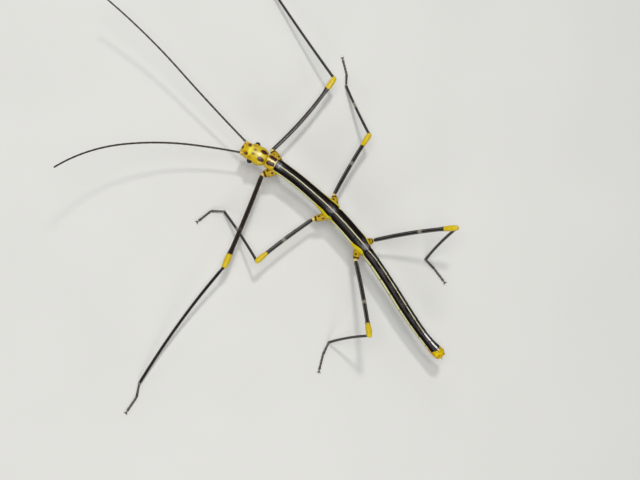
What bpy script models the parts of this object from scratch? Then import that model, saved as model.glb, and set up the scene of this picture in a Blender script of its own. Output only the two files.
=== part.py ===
"""Peruvian fern stick insect, adult female, as a still, life-size model.

Run it with blender --background --python part.py, or from Blender's text editor.

The head points along -Y, the insect's left is +X and up is +Z. The tarsi stand on z = 0. All sizes in
this file are in millimetres. A station is a distance along the body, from the front of the head towards
the tail. A heading is a compass angle seen from above: 0 is straight ahead (-Y), 90 is the insect's left
(+X), 180 is straight back.
"""

from math import asin, cos, degrees, pi, radians, sin

import bmesh
import bpy
from mathutils import Vector

MM = 0.001  # one millimetre, in Blender's metres
GAP = 0.1  # clearance between neighbouring pieces

# ---------------------------------------------------------------- the body's line
HEAD_FRONT = Vector((-9.57, -10.79))  # where the head begins, seen from above
BODY_LENGTH = 66.2
# Station and bearing of the body's axis, in degrees towards the insect's left of straight back.
BEARINGS = (
    (0, -12), (6, -11), (10, -5), (16, 1.5), (24, 5), (29, 10), (34, 13), (40, 17), (50, 20), (58, 16),
    (62, 11.5), (66.2, 0),
)
# Station and height of the axis above the floor.
HEIGHTS = ((0, 7.9), (6, 8.4), (12, 8.5), (30, 8.5), (44, 8.3), (60, 7.9), (66.3, 7.8))
# Station and roll of the back towards the insect's right, in degrees.
ROLLS = ((0, 0), (9, 1), (12, -3), (28, -2), (33, 2), (36, 7), (40, 23), (52, 24), (60, 17), (66.3, 17))

# ---------------------------------------------------------------- the trunk's outlines
# Rows of station, half width, height over the axis and depth under it.
HEAD = (
    (0.1, 0.95, 0.35, 0.45), (0.45, 1.38, 0.75, 0.8), (1.1, 1.7, 1.1, 1.15), (1.9, 1.9, 1.35, 1.4),
    (2.9, 2.06, 1.5, 1.55), (3.9, 2.2, 1.6, 1.6), (4.8, 2.22, 1.6, 1.5), (5.6, 2.04, 1.48, 1.35),
    (6.25, 1.62, 1.25, 1.15),
)
PROTHORAX = (
    (6.35, 1.5, 1.2, 1.15), (6.7, 1.7, 1.36, 1.3), (7.4, 1.78, 1.42, 1.42), (8.1, 1.78, 1.42, 1.52),
    (8.7, 1.62, 1.34, 1.46),
)
MESOTHORAX = (
    (8.8, 1.56, 1.3, 1.44), (9.3, 1.7, 1.42, 1.54), (10.6, 1.65, 1.42, 1.5), (13.0, 1.62, 1.45, 1.46),
    (17.5, 1.64, 1.48, 1.48), (21.5, 1.74, 1.52, 1.54), (23.6, 1.98, 1.56, 1.64), (24.9, 2.18, 1.58, 1.72),
    (25.6, 2.12, 1.55, 1.65), (26.0, 1.8, 1.48, 1.55),
)
METATHORAX = (
    (26.1, 1.72, 1.45, 1.5), (26.6, 1.84, 1.5, 1.54), (29.5, 1.85, 1.5, 1.56), (32.5, 1.86, 1.5, 1.58),
    (34.3, 1.95, 1.52, 1.7), (35.3, 1.88, 1.5, 1.66), (36.3, 1.66, 1.42, 1.46), (37.1, 1.5, 1.34, 1.34),
)
# The stretch of trunk that the root of each pair of legs is cut to fit.
SEATS = {"front": PROTHORAX[:-1] + MESOTHORAX[1:4], "middle": MESOTHORAX[:-1] + METATHORAX[1:4],
         "hind": METATHORAX[:-1] + ((37.6, 1.46, 1.3, 1.3), (39.0, 1.44, 1.28, 1.28))}
ABDOMEN_START = 37.2
SEGMENT_LENGTHS = (3.2, 3.8, 4.0, 4.0, 4.1, 3.2, 2.4, 2.2, 2.05)  # segments 2 to 10
ABDOMEN = (
    (37.2, 1.46, 1.28, 1.28), (44, 1.38, 1.26, 1.27), (52, 1.4, 1.24, 1.25), (58, 1.24, 1.18, 1.2),
    (61, 1.18, 1.15, 1.12), (63.5, 1.34, 1.14, 1.05), (65.2, 1.48, 1.0, 0.95), (66.2, 1.2, 0.8, 0.7),
)
TRUNK_SIDES = 20  # points of a ring
CERCUS_LENGTH = 0.35
CERCUS_PLACE = (0.7, 0.2, 0.3)  # beside, above and behind the end of the axis

# ---------------------------------------------------------------- the head's fittings
# Station, distance beside the axis and height over it.
EYE_PLACE = (3.1, 2.22, 0.3)
SOCKET_PLACE = (1.2, 1.15, 0.68)  # of an antenna
PALP_PLACE = (1.75, 0.8, -0.75)
MOUTH_PLACE = (0.95, 0, -0.6)
EYE_RADIUS = 0.6
PALP_RADIUS = 0.27

# ---------------------------------------------------------------- the legs
FEMUR = {"front": 22.6, "middle": 16.2, "hind": 19.9}
TIBIA = {"front": 32.15, "middle": 16.2, "hind": 16.75}
FEMUR_RADIUS = {"front": 0.45, "middle": 0.41, "hind": 0.42}
TIBIA_RADIUS = {"front": 0.32, "middle": 0.33, "hind": 0.31}
COXA_STATION = {"front": 9.5, "middle": 25.7, "hind": 35.3}
COXA_ROOT = 0.75  # how far beside the axis and below it a coxa begins
COXA_RADIUS = {"front": 1.08, "middle": 0.9, "hind": 0.9}
BASITARSUS = 3.0  # first segment of the foot
FOOT = 3.5  # the other four segments
ANKLE_HEIGHT = 0.75
TARSUS_NARROW, TARSUS_WIDE = 0.26, 0.31  # radii of a foot segment at its ends
SOLE_HEIGHT = 0.27  # axis of the foot, a little less than its radius: the soles come out flat
# Hip: forward, outward and upward of the body's axis at the coxa. Then the femur's heading and rise and
# the headings of the tibia, of the first segment of the foot and of the rest of the foot, in degrees.
POSES = {
    "front_left": ((2.1, 3.35, -1.38), (106.5, 0), 92.7, 118, 95),
    "front_right": ((3.3, 2.75, -1.5), (-91.3, 0.4), -21, -28, -42),
    "middle_left": ((2.25, 4.15, -1.35), (76.2, 4.2), -22.8, 36, 78),
    "middle_right": ((2.85, 3.45, -2.0), (-81.9, 5.6), -35.2, -56, -38),
    "hind_left": ((-2.0, 3.05, -1.52), (132.7, 26.6), 40, 103, 114),
    "hind_right": ((-0.8, 3.25, -1.73), (-136.9, 30.2), 90, 174, 165),
}
# How far the middle of the femur and of the tibia bulges sideways, seen from above: to the left of the
# way from the body to the foot.
BOWS = {
    "front_left": (0.15, -0.7), "front_right": (-0.7, 0.2), "middle_left": (-0.2, -0.2),
    "middle_right": (0.2, 0.15), "hind_left": (0.2, -0.3), "hind_right": (0.4, -0.3),
}

# ---------------------------------------------------------------- the antennae
FLAGELLUM = 44.0
FLAGELLUM_RADIUS = (0.27, 0.25)  # at the base and at the tip
SCAPE, PEDICEL = 0.95, 0.5
ROOT_RADII = (0.36, 0.38, 0.36, 0.3, 0.28)  # of the scape and the pedicel, from the socket on
# Rows of share of the length, heading and rise.
ANTENNAE = {
    "left": ((0, 29.5, 4), (0.25, 35.3, 11.5), (0.6, 51.5, 22), (1, 81.5, 34)),
    "right": ((0, -6.4, 5), (0.5, -8.1, 9), (1, 1.8, 13)),
}

# ---------------------------------------------------------------- materials
MATERIALS = {
    "black_cuticle": ((0.012, 0.009, 0.007), 0.3),
    "yellow_cuticle": ((0.72, 0.5, 0.03), 0.32),
    "leg_cuticle": ((0.02, 0.018, 0.016), 0.35),
    "eye": ((0.01, 0.008, 0.008), 0.12),
    "claw": ((0.06, 0.03, 0.015), 0.3),
}


def empty_scene():
    """Removes the objects that the file opened with."""
    for thing in list(bpy.data.objects):
        bpy.data.objects.remove(thing)


def material(name):
    """A Principled material of the given slot, made once."""
    if name in bpy.data.materials:
        return bpy.data.materials[name]
    colour, roughness = MATERIALS[name]
    made = bpy.data.materials.new(name)
    made.use_nodes = True
    shader = made.node_tree.nodes["Principled BSDF"]
    shader.inputs["Base Color"].default_value = (*colour, 1)
    shader.inputs["Roughness"].default_value = roughness
    shader.inputs["Metallic"].default_value = 0
    return made


def between(table, at):
    """The values of a table of rows (place, value, ...) at a place between two rows."""
    at = min(max(at, table[0][0]), table[-1][0])
    for low, high in zip(table, table[1:]):
        if at <= high[0]:
            share = (at - low[0]) / (high[0] - low[0])
            return [a + (b - a) * share for a, b in zip(low[1:], high[1:])]


def compass(heading, rise=0):
    """The unit vector of a heading and a rise over the floor."""
    flat = cos(radians(rise))
    return Vector((sin(radians(heading)) * flat, -cos(radians(heading)) * flat, sin(radians(rise))))


def spine_point(station, step=0.1):
    """A point of the body's axis: the bearings are followed step by step from the head."""
    place = HEAD_FRONT.copy()
    walked = 0.0
    while walked < station:
        stride = min(step, station - walked)
        bearing = radians(between(BEARINGS, walked + stride / 2)[0])
        place += Vector((sin(bearing), cos(bearing))) * stride
        walked += stride
    return Vector((place.x, place.y, between(HEIGHTS, station)[0]))


def spine_frame(station):
    """Centre of the body at a station, and its directions backwards, to the left and up."""
    reach = 0.3
    centre = spine_point(station)
    ahead = spine_point(max(station - reach, 0))
    behind = spine_point(min(station + reach, BODY_LENGTH))
    back = (behind - ahead).normalized()
    level_left = back.cross(Vector((0, 0, 1))).normalized()
    level_up = level_left.cross(back)
    roll = radians(between(ROLLS, station)[0])
    left = level_left * cos(roll) + level_up * sin(roll)
    up = level_up * cos(roll) - level_left * sin(roll)
    return centre, back, left, up


def section(centre, left, up, half_width, top, bottom, sides, squareness=0.9):
    """One ring of points: an oval, or a rounded square as squareness falls towards zero."""
    points = []
    for side in range(sides):
        angle = 2 * pi * side / sides
        across, height = cos(angle), sin(angle)
        across = half_width * abs(across) ** squareness * (1 if across > 0 else -1)
        height = (top if height > 0 else bottom) * abs(height) ** squareness * (1 if height > 0 else -1)
        points.append(centre + left * across + up * height)
    return points


def mesh_of_rings(rings):
    """A closed mesh through rings of as many points each, with a flat face at either end."""
    mesh = bmesh.new()
    rows = [[mesh.verts.new(point * MM) for point in ring] for ring in rings]
    count = len(rows[0])
    for row, following in zip(rows, rows[1:]):
        for side in range(count):
            after = (side + 1) % count
            mesh.faces.new((row[side], row[after], following[after], following[side]))
    mesh.faces.new(rows[0])
    mesh.faces.new(rows[-1])
    bmesh.ops.recalc_face_normals(mesh, faces=mesh.faces)
    return mesh


def add_node(name, mesh, slot, smooth=True):
    """Turns a bmesh into a named object with a material."""
    data = bpy.data.meshes.new(name)
    mesh.to_mesh(data)
    mesh.free()
    data.materials.append(material(slot))
    if smooth:
        data.shade_smooth()
        data.set_sharp_from_angle(angle=radians(40))
    node = bpy.data.objects.new(name, data)
    bpy.context.scene.collection.objects.link(node)
    return node


def trunk_rings(outline, grow=0.0):
    """Rings of a length of the trunk; grow makes it fatter and longer, for a cutter."""
    rings = []
    for number, (station, half_width, top, bottom) in enumerate(outline):
        if grow and number in (0, len(outline) - 1):
            station += -grow if number == 0 else grow
        centre, _, left, up = spine_frame(station)
        rings.append(section(centre, left, up, half_width + grow, top + grow, bottom + grow, TRUNK_SIDES))
    return rings


def cut_away(node, name, rings):
    """Cuts a grown copy of a neighbour, given as rings, out of a node."""
    cutter = bpy.data.objects.get(name)
    if cutter is None:
        cutter = add_node(name, mesh_of_rings(rings), "claw", smooth=False)
        cutter.hide_render = True
        cutter.display_type = "WIRE"
    cut = node.modifiers.new(name, "BOOLEAN")
    cut.operation = "DIFFERENCE"
    cut.solver = "EXACT"
    cut.object = cutter


# ---------------------------------------------------------------- limbs
def limb_rings(path, radii, side_axis, sides, squareness=1.0, caps=(True, True)):
    """Rings along a bent limb, with a dome at each end that has a cap.

    side_axis is the direction across the limb, such as the hinge of a knee.
    """
    def frame(number):
        before = path[max(number - 1, 0)]
        after = path[min(number + 1, len(path) - 1)]
        along = (after - before).normalized()
        up = side_axis.cross(along).normalized()
        return along, along.cross(up), up

    def dome(number, outward):
        along, across, up = frame(number)
        rounds = []
        for angle in (30, 60, 84):
            radius = radii[number] * cos(radians(angle))
            centre = path[number] + along * outward * radii[number] * sin(radians(angle))
            rounds.append(section(centre, across, up, radius, radius, radius, sides, squareness))
        return rounds

    rings = []
    for number, (point, radius) in enumerate(zip(path, radii)):
        _, across, up = frame(number)
        rings.append(section(point, across, up, radius, radius, radius, sides, squareness))
    if caps[0]:
        rings = dome(0, -1)[::-1] + rings
    if caps[1]:
        rings += dome(len(path) - 1, 1)
    return rings


def trim(mesh, joint, keep_towards, other_towards):
    """Cuts a limb's end on the plane that halves a joint, half a gap on its own side of it."""
    normal = (other_towards - keep_towards).normalized()
    bmesh.ops.bisect_plane(
        mesh, geom=mesh.verts[:] + mesh.edges[:] + mesh.faces[:],
        plane_co=(joint - normal * GAP / 2) * MM, plane_no=normal, clear_outer=True,
    )
    rim = [edge for edge in mesh.edges if edge.is_boundary]
    bmesh.ops.holes_fill(mesh, edges=rim)


def straight(start, end, shares):
    """Points at given shares of the way from start to end."""
    return [start.lerp(end, share) for share in shares]


def bowed(start, end, shares, bulge):
    """Points on a shallow arch from start to end, which bulges sideways."""
    sideways = Vector((0, 0, 1)).cross(end - start).normalized()
    return [start.lerp(end, share) + sideways * bulge * 4 * share * (1 - share) for share in shares]


def leg_joints(leg):
    """Places of the joints of a leg, from the coxa's root to the tip of the foot."""
    pair, side = leg.split("_")
    hip_place, (femur_heading, femur_rise), tibia_heading, base_heading, foot_heading = POSES[leg]
    forward, outward, rise = hip_place
    sign = 1 if side == "left" else -1
    centre, back, left, up = spine_frame(COXA_STATION[pair])
    root = centre + left * COXA_ROOT * sign - up * COXA_ROOT
    hip = centre - back * forward + left * outward * sign + Vector((0, 0, rise))
    knee = hip + compass(femur_heading, femur_rise) * FEMUR[pair]
    drop = degrees(asin((knee.z - ANKLE_HEIGHT) / TIBIA[pair]))
    ankle = knee + compass(tibia_heading, -drop) * TIBIA[pair]
    fall = degrees(asin((ANKLE_HEIGHT - SOLE_HEIGHT) / BASITARSUS))
    ball = ankle + compass(base_heading, -fall) * BASITARSUS
    toe = ball + compass(foot_heading) * FOOT
    return root, hip, knee, ankle, ball, toe


def add_coxa(leg, root, hip, knee):
    """Coxa and trochanter: the short stout cone that carries the leg."""
    pair = leg.split("_")[0]
    radius = COXA_RADIUS[pair]
    path = straight(root, hip, (0, 0.45, 0.7, 0.86, 0.93, 1))
    radii = (radius, radius * 0.98, radius * 0.9, radius * 0.72, 0.57, 0.47)
    hinge = (hip - root).cross(Vector((0, 0, 1))).normalized()
    mesh = mesh_of_rings(limb_rings(path, radii, hinge, 10))
    trim(mesh, hip, (root - hip).normalized(), (knee - hip).normalized())
    node = add_node("coxa_" + leg, mesh, "yellow_cuticle")
    cut_away(node, "cutter_" + pair, trunk_rings(SEATS[pair], GAP))


def add_femur(leg, root, hip, knee, ankle):
    """Thigh: square in section, with a swollen knee."""
    radius = FEMUR_RADIUS[leg.split("_")[0]]
    path = bowed(hip, knee, (0, 0.06, 0.3, 0.55, 0.8, 0.88, 0.96, 1), BOWS[leg][0])
    radii = [radius * size for size in (0.92, 0.98, 1.02, 1.02, 1.02, 1.5, 1.54, 1.3)]
    hinge = (knee - hip).cross(ankle - knee).normalized()
    mesh = mesh_of_rings(limb_rings(path, radii, hinge, 8, squareness=0.72))
    trim(mesh, hip, (knee - hip).normalized(), (root - hip).normalized())
    trim(mesh, knee, (hip - knee).normalized(), (ankle - knee).normalized())
    add_node("femur_" + leg, mesh, "leg_cuticle")


def add_tibia(leg, hip, knee, ankle, ball):
    """Shin: thinner than the thigh, a little wider at both ends."""
    radius = TIBIA_RADIUS[leg.split("_")[0]]
    path = bowed(knee, ankle, (0, 0.03, 0.1, 0.35, 0.65, 0.9, 0.98, 1), BOWS[leg][1])
    radii = [radius * size for size in (1.3, 1.2, 1.02, 0.95, 0.95, 0.95, 1.05, 1.0)]
    hinge = (knee - hip).cross(ankle - knee).normalized()
    mesh = mesh_of_rings(limb_rings(path, radii, hinge, 8, squareness=0.8))
    trim(mesh, knee, (ankle - knee).normalized(), (hip - knee).normalized())
    trim(mesh, ankle, (knee - ankle).normalized(), (ball - ankle).normalized())
    add_node("tibia_" + leg, mesh, "leg_cuticle")


def add_tarsus(leg, knee, ankle, ball, toe):
    """Foot of five segments, which stands on flat soles."""
    narrow, wide = TARSUS_NARROW, TARSUS_WIDE
    path = straight(ankle, ball, (0, 0.06, 0.9, 1))
    path += straight(ball, toe, (0.2, 0.26, 0.42, 0.48, 0.62, 0.68, 0.97))
    radii = (wide, narrow, wide, narrow, wide, narrow, wide, narrow, wide, narrow, wide)
    mesh = mesh_of_rings(limb_rings(path, radii, Vector((0, 0, 1)).cross(toe - ankle).normalized(), 8))
    trim(mesh, ankle, (ball - ankle).normalized(), (knee - ankle).normalized())
    for vertex in mesh.verts:
        vertex.co.z = max(vertex.co.z, 0)
    add_node("tarsus_" + leg, mesh, "leg_cuticle")


def add_claws(leg, ball, toe):
    """The two claws of a foot and the bar that joins them: one tube, bent like an anchor."""
    forward = (toe - ball).normalized()
    across = Vector((0, 0, 1)).cross(forward)
    start = toe + forward * (TARSUS_WIDE + GAP)
    path, radii = [], []
    for number in range(-4, 5):
        way = number / 4
        spread = 0.42 * sin(way * pi / 2)
        reach = 0.12 + 0.42 * abs(way) ** 1.6
        height = 0.14 * sin(pi * abs(way)) - 0.14 * way * way
        path.append(start + across * spread + forward * reach + Vector((0, 0, height)))
        radii.append(0.13 - 0.08 * abs(way))
    add_node("claws_" + leg, mesh_of_rings(limb_rings(path, radii, Vector((0, 0, 1)), 6)), "claw")


def add_leg(leg):
    """All nodes of one leg."""
    root, hip, knee, ankle, ball, toe = leg_joints(leg)
    add_coxa(leg, root, hip, knee)
    add_femur(leg, root, hip, knee, ankle)
    add_tibia(leg, hip, knee, ankle, ball)
    add_tarsus(leg, knee, ankle, ball, toe)
    add_claws(leg, ball, toe)


# ---------------------------------------------------------------- trunk
def add_trunk():
    """Head, the three parts of the thorax and the segments of the abdomen."""
    add_node("head", mesh_of_rings(trunk_rings(HEAD)), "yellow_cuticle")
    add_node("prothorax", mesh_of_rings(trunk_rings(PROTHORAX)), "yellow_cuticle")
    add_node("mesothorax", mesh_of_rings(trunk_rings(MESOTHORAX)), "black_cuticle")
    add_node("metathorax", mesh_of_rings(trunk_rings(METATHORAX)), "black_cuticle")
    start = ABDOMEN_START
    for number, length in enumerate(SEGMENT_LENGTHS, start=2):
        end = start + length - GAP
        outline = []
        for station, size in ((start, 0.96), (start + 0.35, 0.99), (end - 0.5, 1.0), (end, 1.02)):
            half_width, top, bottom = between(ABDOMEN, station)
            outline.append((station, half_width * size, top * size, bottom * size))
        slot = "yellow_cuticle" if number == 10 else "black_cuticle"
        add_node(f"abdomen_{number}", mesh_of_rings(trunk_rings(outline)), slot)
        start += length


def add_operculum():
    """The boat-shaped plate under the end of the abdomen."""
    outline = [
        (59.0, 0.5, 0.3, 1.3), (60.0, 0.85, 0.3, 1.5), (61.6, 1.05, 0.3, 1.75), (63.5, 1.12, 0.3, 1.75),
        (65.2, 0.95, 0.3, 1.4), (66.0, 0.6, 0.3, 1.05),
    ]
    node = add_node("operculum", mesh_of_rings(trunk_rings(outline)), "yellow_cuticle")
    abdomen_end = [(57.5, *between(ABDOMEN, 57.5)), *ABDOMEN[4:]]
    cut_away(node, "cutter_abdomen", trunk_rings(abdomen_end, GAP + 0.03))


def add_cerci():
    """The two short feelers at the tail."""
    centre, back, left, up = spine_frame(BODY_LENGTH)
    for side, sign in (("left", 1), ("right", -1)):
        beside, above, behind = CERCUS_PLACE
        base = centre + left * beside * sign + up * above + back * behind
        tip = base + back * CERCUS_LENGTH + left * 0.15 * sign - up * 0.1
        rings = limb_rings(straight(base, tip, (0, 0.5, 1)), (0.3, 0.28, 0.14), up, 8)
        add_node("cercus_" + side, mesh_of_rings(rings), "yellow_cuticle")


# ---------------------------------------------------------------- head
def head_place(place, sign=1):
    """A point of the head, on the left for a positive sign, and the directions there."""
    station, outward, upward = place
    centre, back, left, up = spine_frame(station)
    return centre + left * outward * sign + up * upward, back, left, up


def add_eyes():
    """Round eyes that bulge from the sides of the head."""
    for side, sign in (("left", 1), ("right", -1)):
        centre, _, left, up = head_place(EYE_PLACE, sign)
        half_way = left * EYE_RADIUS / 2 * sign
        path = straight(centre - half_way, centre + half_way, (0, 0.5, 1))
        radii = [EYE_RADIUS * size for size in (0.9, 1, 0.82)]
        node = add_node("eye_" + side, mesh_of_rings(limb_rings(path, radii, up, 12)), "eye")
        cut_away(node, "cutter_head", trunk_rings(HEAD, GAP))


def add_mouthparts():
    """Upper lip and jaws: a rounded wedge under the front of the head."""
    top, back, left, up = head_place(MOUTH_PLACE)
    tip = top - up * 1.35 - back * 0.35
    path = straight(top, tip, (0, 0.35, 0.7, 1))
    rings = [section(point, left, -back, width, 0.62 * width, 0.8 * width, 12)
             for point, width in zip(path, (0.9, 0.95, 0.85, 0.45))]
    node = add_node("mouthparts", mesh_of_rings(rings), "yellow_cuticle")
    cut_away(node, "cutter_head", trunk_rings(HEAD, GAP))


def add_palps():
    """The jointed feelers beside the mouth."""
    for side, sign in (("left", 1), ("right", -1)):
        root, back, left, up = head_place(PALP_PLACE, sign)
        bend = root + left * 0.25 * sign - up * 0.85 - back * 0.2
        tip = bend - back * 1.05 - up * 0.55 - left * 0.12 * sign
        path = straight(root, bend, (0, 0.5, 0.85)) + straight(bend, tip, (0.1, 0.5, 1))
        rings = limb_rings(path, [PALP_RADIUS] * len(path), left, 7)
        node = add_node("palp_" + side, mesh_of_rings(rings), "yellow_cuticle")
        cut_away(node, "cutter_head", trunk_rings(HEAD, GAP))


def antenna_path(side):
    """Evenly spaced points of an antenna from the middle of its socket, and their spacing."""
    sign = 1 if side == "left" else -1
    place = head_place(SOCKET_PLACE, sign)[0]
    length = SCAPE + PEDICEL + FLAGELLUM
    step = 0.5
    points = [place]
    for number in range(round(length / step)):
        heading, rise = between(ANTENNAE[side], (number + 0.5) * step / length)
        points.append(points[-1] + compass(heading, rise) * step)
    return points, step


def add_antenna(side):
    """Stout base joint, then the whip in two lengths."""
    points, step = antenna_path(side)

    def walk(start, end, count):
        """Evenly spaced points between two distances along the antenna."""
        path = []
        for number in range(count):
            at = (start + (end - start) * number / (count - 1)) / step
            low = min(int(at), len(points) - 2)
            path.append(points[low].lerp(points[low + 1], at - low))
        return path

    up = Vector((0, 0, 1))
    across = (points[1] - points[0]).cross(up).normalized()
    root = walk(0, SCAPE + PEDICEL, len(ROOT_RADII))
    rings = limb_rings(root, ROOT_RADII, across, 10, caps=(True, False))
    node = add_node("scape_" + side, mesh_of_rings(rings), "yellow_cuticle")
    cut_away(node, "cutter_head", trunk_rings(HEAD, GAP))
    base_radius, tip_radius = FLAGELLUM_RADIUS
    start = SCAPE + PEDICEL + GAP
    for part in (1, 2):
        end = start + FLAGELLUM / 2 - GAP
        path = walk(start, end, 11)
        radii = []
        for number in range(len(path)):
            share = (part - 1 + number / (len(path) - 1)) / 2
            radii.append(base_radius + (tip_radius - base_radius) * share)
        rings = limb_rings(path, radii, up, 6, caps=(False, part == 2))
        add_node(f"flagellum_{side}_{part}", mesh_of_rings(rings), "leg_cuticle")
        start = end + GAP


def build():
    """Models the whole insect."""
    empty_scene()
    add_trunk()
    add_eyes()
    add_mouthparts()
    add_palps()
    for side in ANTENNAE:
        add_antenna(side)
    add_operculum()
    add_cerci()
    for leg in POSES:
        add_leg(leg)


build()
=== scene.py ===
# %% [markdown]
# # A Peruvian fern stick insect, as a still model
#
# The animal is a grown female, 66 mm from the head to the tail. Its body is black lacquer with cream
# lines, its head, hips and knees are yellow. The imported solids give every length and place. This notebook
# makes the living surface: one skin for all the flesh, then the eyes and the claws, then the finishes.

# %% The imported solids
from math import asin, atan2, cos, degrees, exp, hypot, pi, radians, sin

import bmesh
import bpy
from mathutils import Matrix, Vector


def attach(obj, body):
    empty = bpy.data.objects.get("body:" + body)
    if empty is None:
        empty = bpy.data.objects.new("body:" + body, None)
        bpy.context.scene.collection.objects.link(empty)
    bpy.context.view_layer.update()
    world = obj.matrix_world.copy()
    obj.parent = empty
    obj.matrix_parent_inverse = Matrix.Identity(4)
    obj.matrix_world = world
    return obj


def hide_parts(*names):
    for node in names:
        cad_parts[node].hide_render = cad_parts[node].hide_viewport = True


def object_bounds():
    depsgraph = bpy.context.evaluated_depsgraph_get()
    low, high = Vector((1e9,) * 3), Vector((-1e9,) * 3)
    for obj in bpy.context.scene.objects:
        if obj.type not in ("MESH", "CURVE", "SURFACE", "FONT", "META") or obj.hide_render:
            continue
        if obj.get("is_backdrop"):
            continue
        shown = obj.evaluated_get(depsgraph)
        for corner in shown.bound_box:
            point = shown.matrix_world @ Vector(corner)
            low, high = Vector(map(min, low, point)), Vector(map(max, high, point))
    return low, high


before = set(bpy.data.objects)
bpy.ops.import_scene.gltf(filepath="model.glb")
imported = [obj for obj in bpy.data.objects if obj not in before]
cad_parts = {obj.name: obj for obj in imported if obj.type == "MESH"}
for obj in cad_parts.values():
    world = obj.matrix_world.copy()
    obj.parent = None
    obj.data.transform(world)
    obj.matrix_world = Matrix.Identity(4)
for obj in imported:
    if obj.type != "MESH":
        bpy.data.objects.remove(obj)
cad_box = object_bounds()

print("nodes", len(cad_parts), "box", [round(value * 1000, 2) for corner in cad_box for value in corner])

# %% [markdown]
# ## The line of the body
#
# A stick insect is one long gentle curve. Every section of it stands across that curve, so the curve comes
# first. A bezier curve could hold it, but a table of bearings is easier to read: it says how far the body
# turns at each station. A station is a distance in millimetres from the front of the head.

# %% Stations and bearings
MM = 0.001
HEAD_FRONT = Vector((-9.57, -10.79))
BODY_LENGTH = 66.2
# Rows of a station and the value there: bearings and rolls in degrees, heights over the floor.
BEARINGS = (
    (0, -12), (6, -11), (10, -5), (16, 1.5), (24, 5), (29, 10), (34, 13), (40, 17), (50, 20), (58, 16),
    (62, 11.5), (66.2, 0),
)
HEIGHTS = ((0, 7.9), (6, 8.4), (12, 8.5), (30, 8.5), (44, 8.3), (60, 7.9), (66.3, 7.8))
ROLLS = ((0, 0), (9, 1), (12, -3), (28, -2), (33, 2), (36, 7), (40, 23), (52, 24), (60, 17), (66.3, 17))


def between(table, at):
    """The values of a table of rows (place, value, ...) at a place between two rows."""
    at = min(max(at, table[0][0]), table[-1][0])
    for low, high in zip(table, table[1:]):
        if at <= high[0]:
            share = (at - low[0]) / (high[0] - low[0])
            return [a + (b - a) * share for a, b in zip(low[1:], high[1:])]


def smooth_between(table, at):
    """As between, on a smooth curve through the rows instead of straight runs."""
    at = min(max(at, table[0][0]), table[-1][0])
    number = next(n for n, row in enumerate(table[1:]) if at <= row[0])
    last = len(table) - 1
    rows = [table[min(max(near, 0), last)] for near in range(number - 1, number + 3)]
    span = rows[2][0] - rows[1][0]
    share = (at - rows[1][0]) / span
    values = []
    for a, b, c, d in zip(*(row[1:] for row in rows)):
        leave = (c - a) / (rows[2][0] - rows[0][0]) * span
        arrive = (d - b) / (rows[3][0] - rows[1][0]) * span
        bend = 3 * (c - b) - 2 * leave - arrive
        twist = 2 * (b - c) + leave + arrive
        values.append(b + share * (leave + share * (bend + share * twist)))
    return values


print("half way, the body heads", round(between(BEARINGS, BODY_LENGTH / 2)[0], 1), "degrees")

# %% Axis
STRIDE = 0.1  # between the places that are kept of the axis


def walk_spine():
    """Places of the axis, one for each stride, seen from above."""
    places = [HEAD_FRONT.copy()]
    for number in range(round(BODY_LENGTH / STRIDE)):
        bearing = radians(between(BEARINGS, (number + 0.5) * STRIDE)[0])
        places.append(places[-1] + Vector((sin(bearing), cos(bearing))) * STRIDE)
    return places


SPINE = walk_spine()


def spine_point(station):
    """A point of the body's axis."""
    number = min(int(station / STRIDE), len(SPINE) - 2)
    flat = SPINE[number].lerp(SPINE[number + 1], station / STRIDE - number)
    return Vector((flat.x, flat.y, between(HEIGHTS, station)[0]))


def spine_frame(station):
    """Centre of the body at a station, and its directions backwards, to the left and up."""
    reach = 0.3
    ahead = spine_point(max(station - reach, 0))
    behind = spine_point(min(station + reach, BODY_LENGTH))
    back = (behind - ahead).normalized()
    level_left = back.cross(Vector((0, 0, 1))).normalized()
    level_up = level_left.cross(back)
    roll = radians(between(ROLLS, station)[0])
    left = level_left * cos(roll) + level_up * sin(roll)
    up = level_up * cos(roll) - level_left * sin(roll)
    return spine_point(station), back, left, up


print("tail at", [round(value, 1) for value in spine_point(BODY_LENGTH)])

# %% [markdown]
# ## The camera
#
# The insect is looked at from above, a little from its tail's side, with a long lens. The camera is set by
# its place, the lean of its view and a roll about that view, and not by a constraint, so nothing else can
# turn it.

# %% Camera
CAMERA_PLACE = Vector((53.01, 16.19, 270.19))
LEAN, ROLL = radians(12.29), radians(128.54)
ANGLE_OF_VIEW = radians(30)


def add_camera():
    """The camera, from its place, lean and roll."""
    backwards = Vector((sin(LEAN), 0, cos(LEAN)))
    level = backwards.cross(Vector((0, -1, 0))).normalized()
    upright = backwards.cross(level)
    right = level * cos(ROLL) + upright * sin(ROLL)
    up = upright * cos(ROLL) - level * sin(ROLL)
    data = bpy.data.cameras.new("camera")
    data.angle = ANGLE_OF_VIEW
    data.clip_start = 0.01
    camera = bpy.data.objects.new("camera", data)
    bpy.context.scene.collection.objects.link(camera)
    turn = Matrix((right, up, backwards)).transposed()
    camera.matrix_world = Matrix.Translation(CAMERA_PLACE * MM) @ turn.to_4x4()
    bpy.context.scene.camera = camera
    return camera


camera = add_camera()
print("lens", round(camera.data.lens, 1), "mm")

# %% [markdown]
# ## Floor and light
#
# Lacquer-black animals are lit by what they reflect. One large soft lamp near the viewer gives the light, a
# small one beside it the sparks on the wet-looking skin, and one from the far side draws the edges. A dim
# even sky keeps the underside from going dead. The floor is plain and pale.

# %% Floor
def select_only(*things):
    """Selects these objects and nothing else; the first is the active one."""
    bpy.ops.object.select_all(action="DESELECT")
    for thing in things:
        thing.select_set(True)
    if things:
        bpy.context.view_layer.objects.active = things[0]


FLOOR_WIDTH = 1.6
select_only()
bpy.ops.mesh.primitive_plane_add(size=FLOOR_WIDTH, location=(0, 0, 0))
floor = bpy.context.object
floor.name = "floor"
floor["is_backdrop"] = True
print("floor", FLOOR_WIDTH, "m wide")


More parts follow.
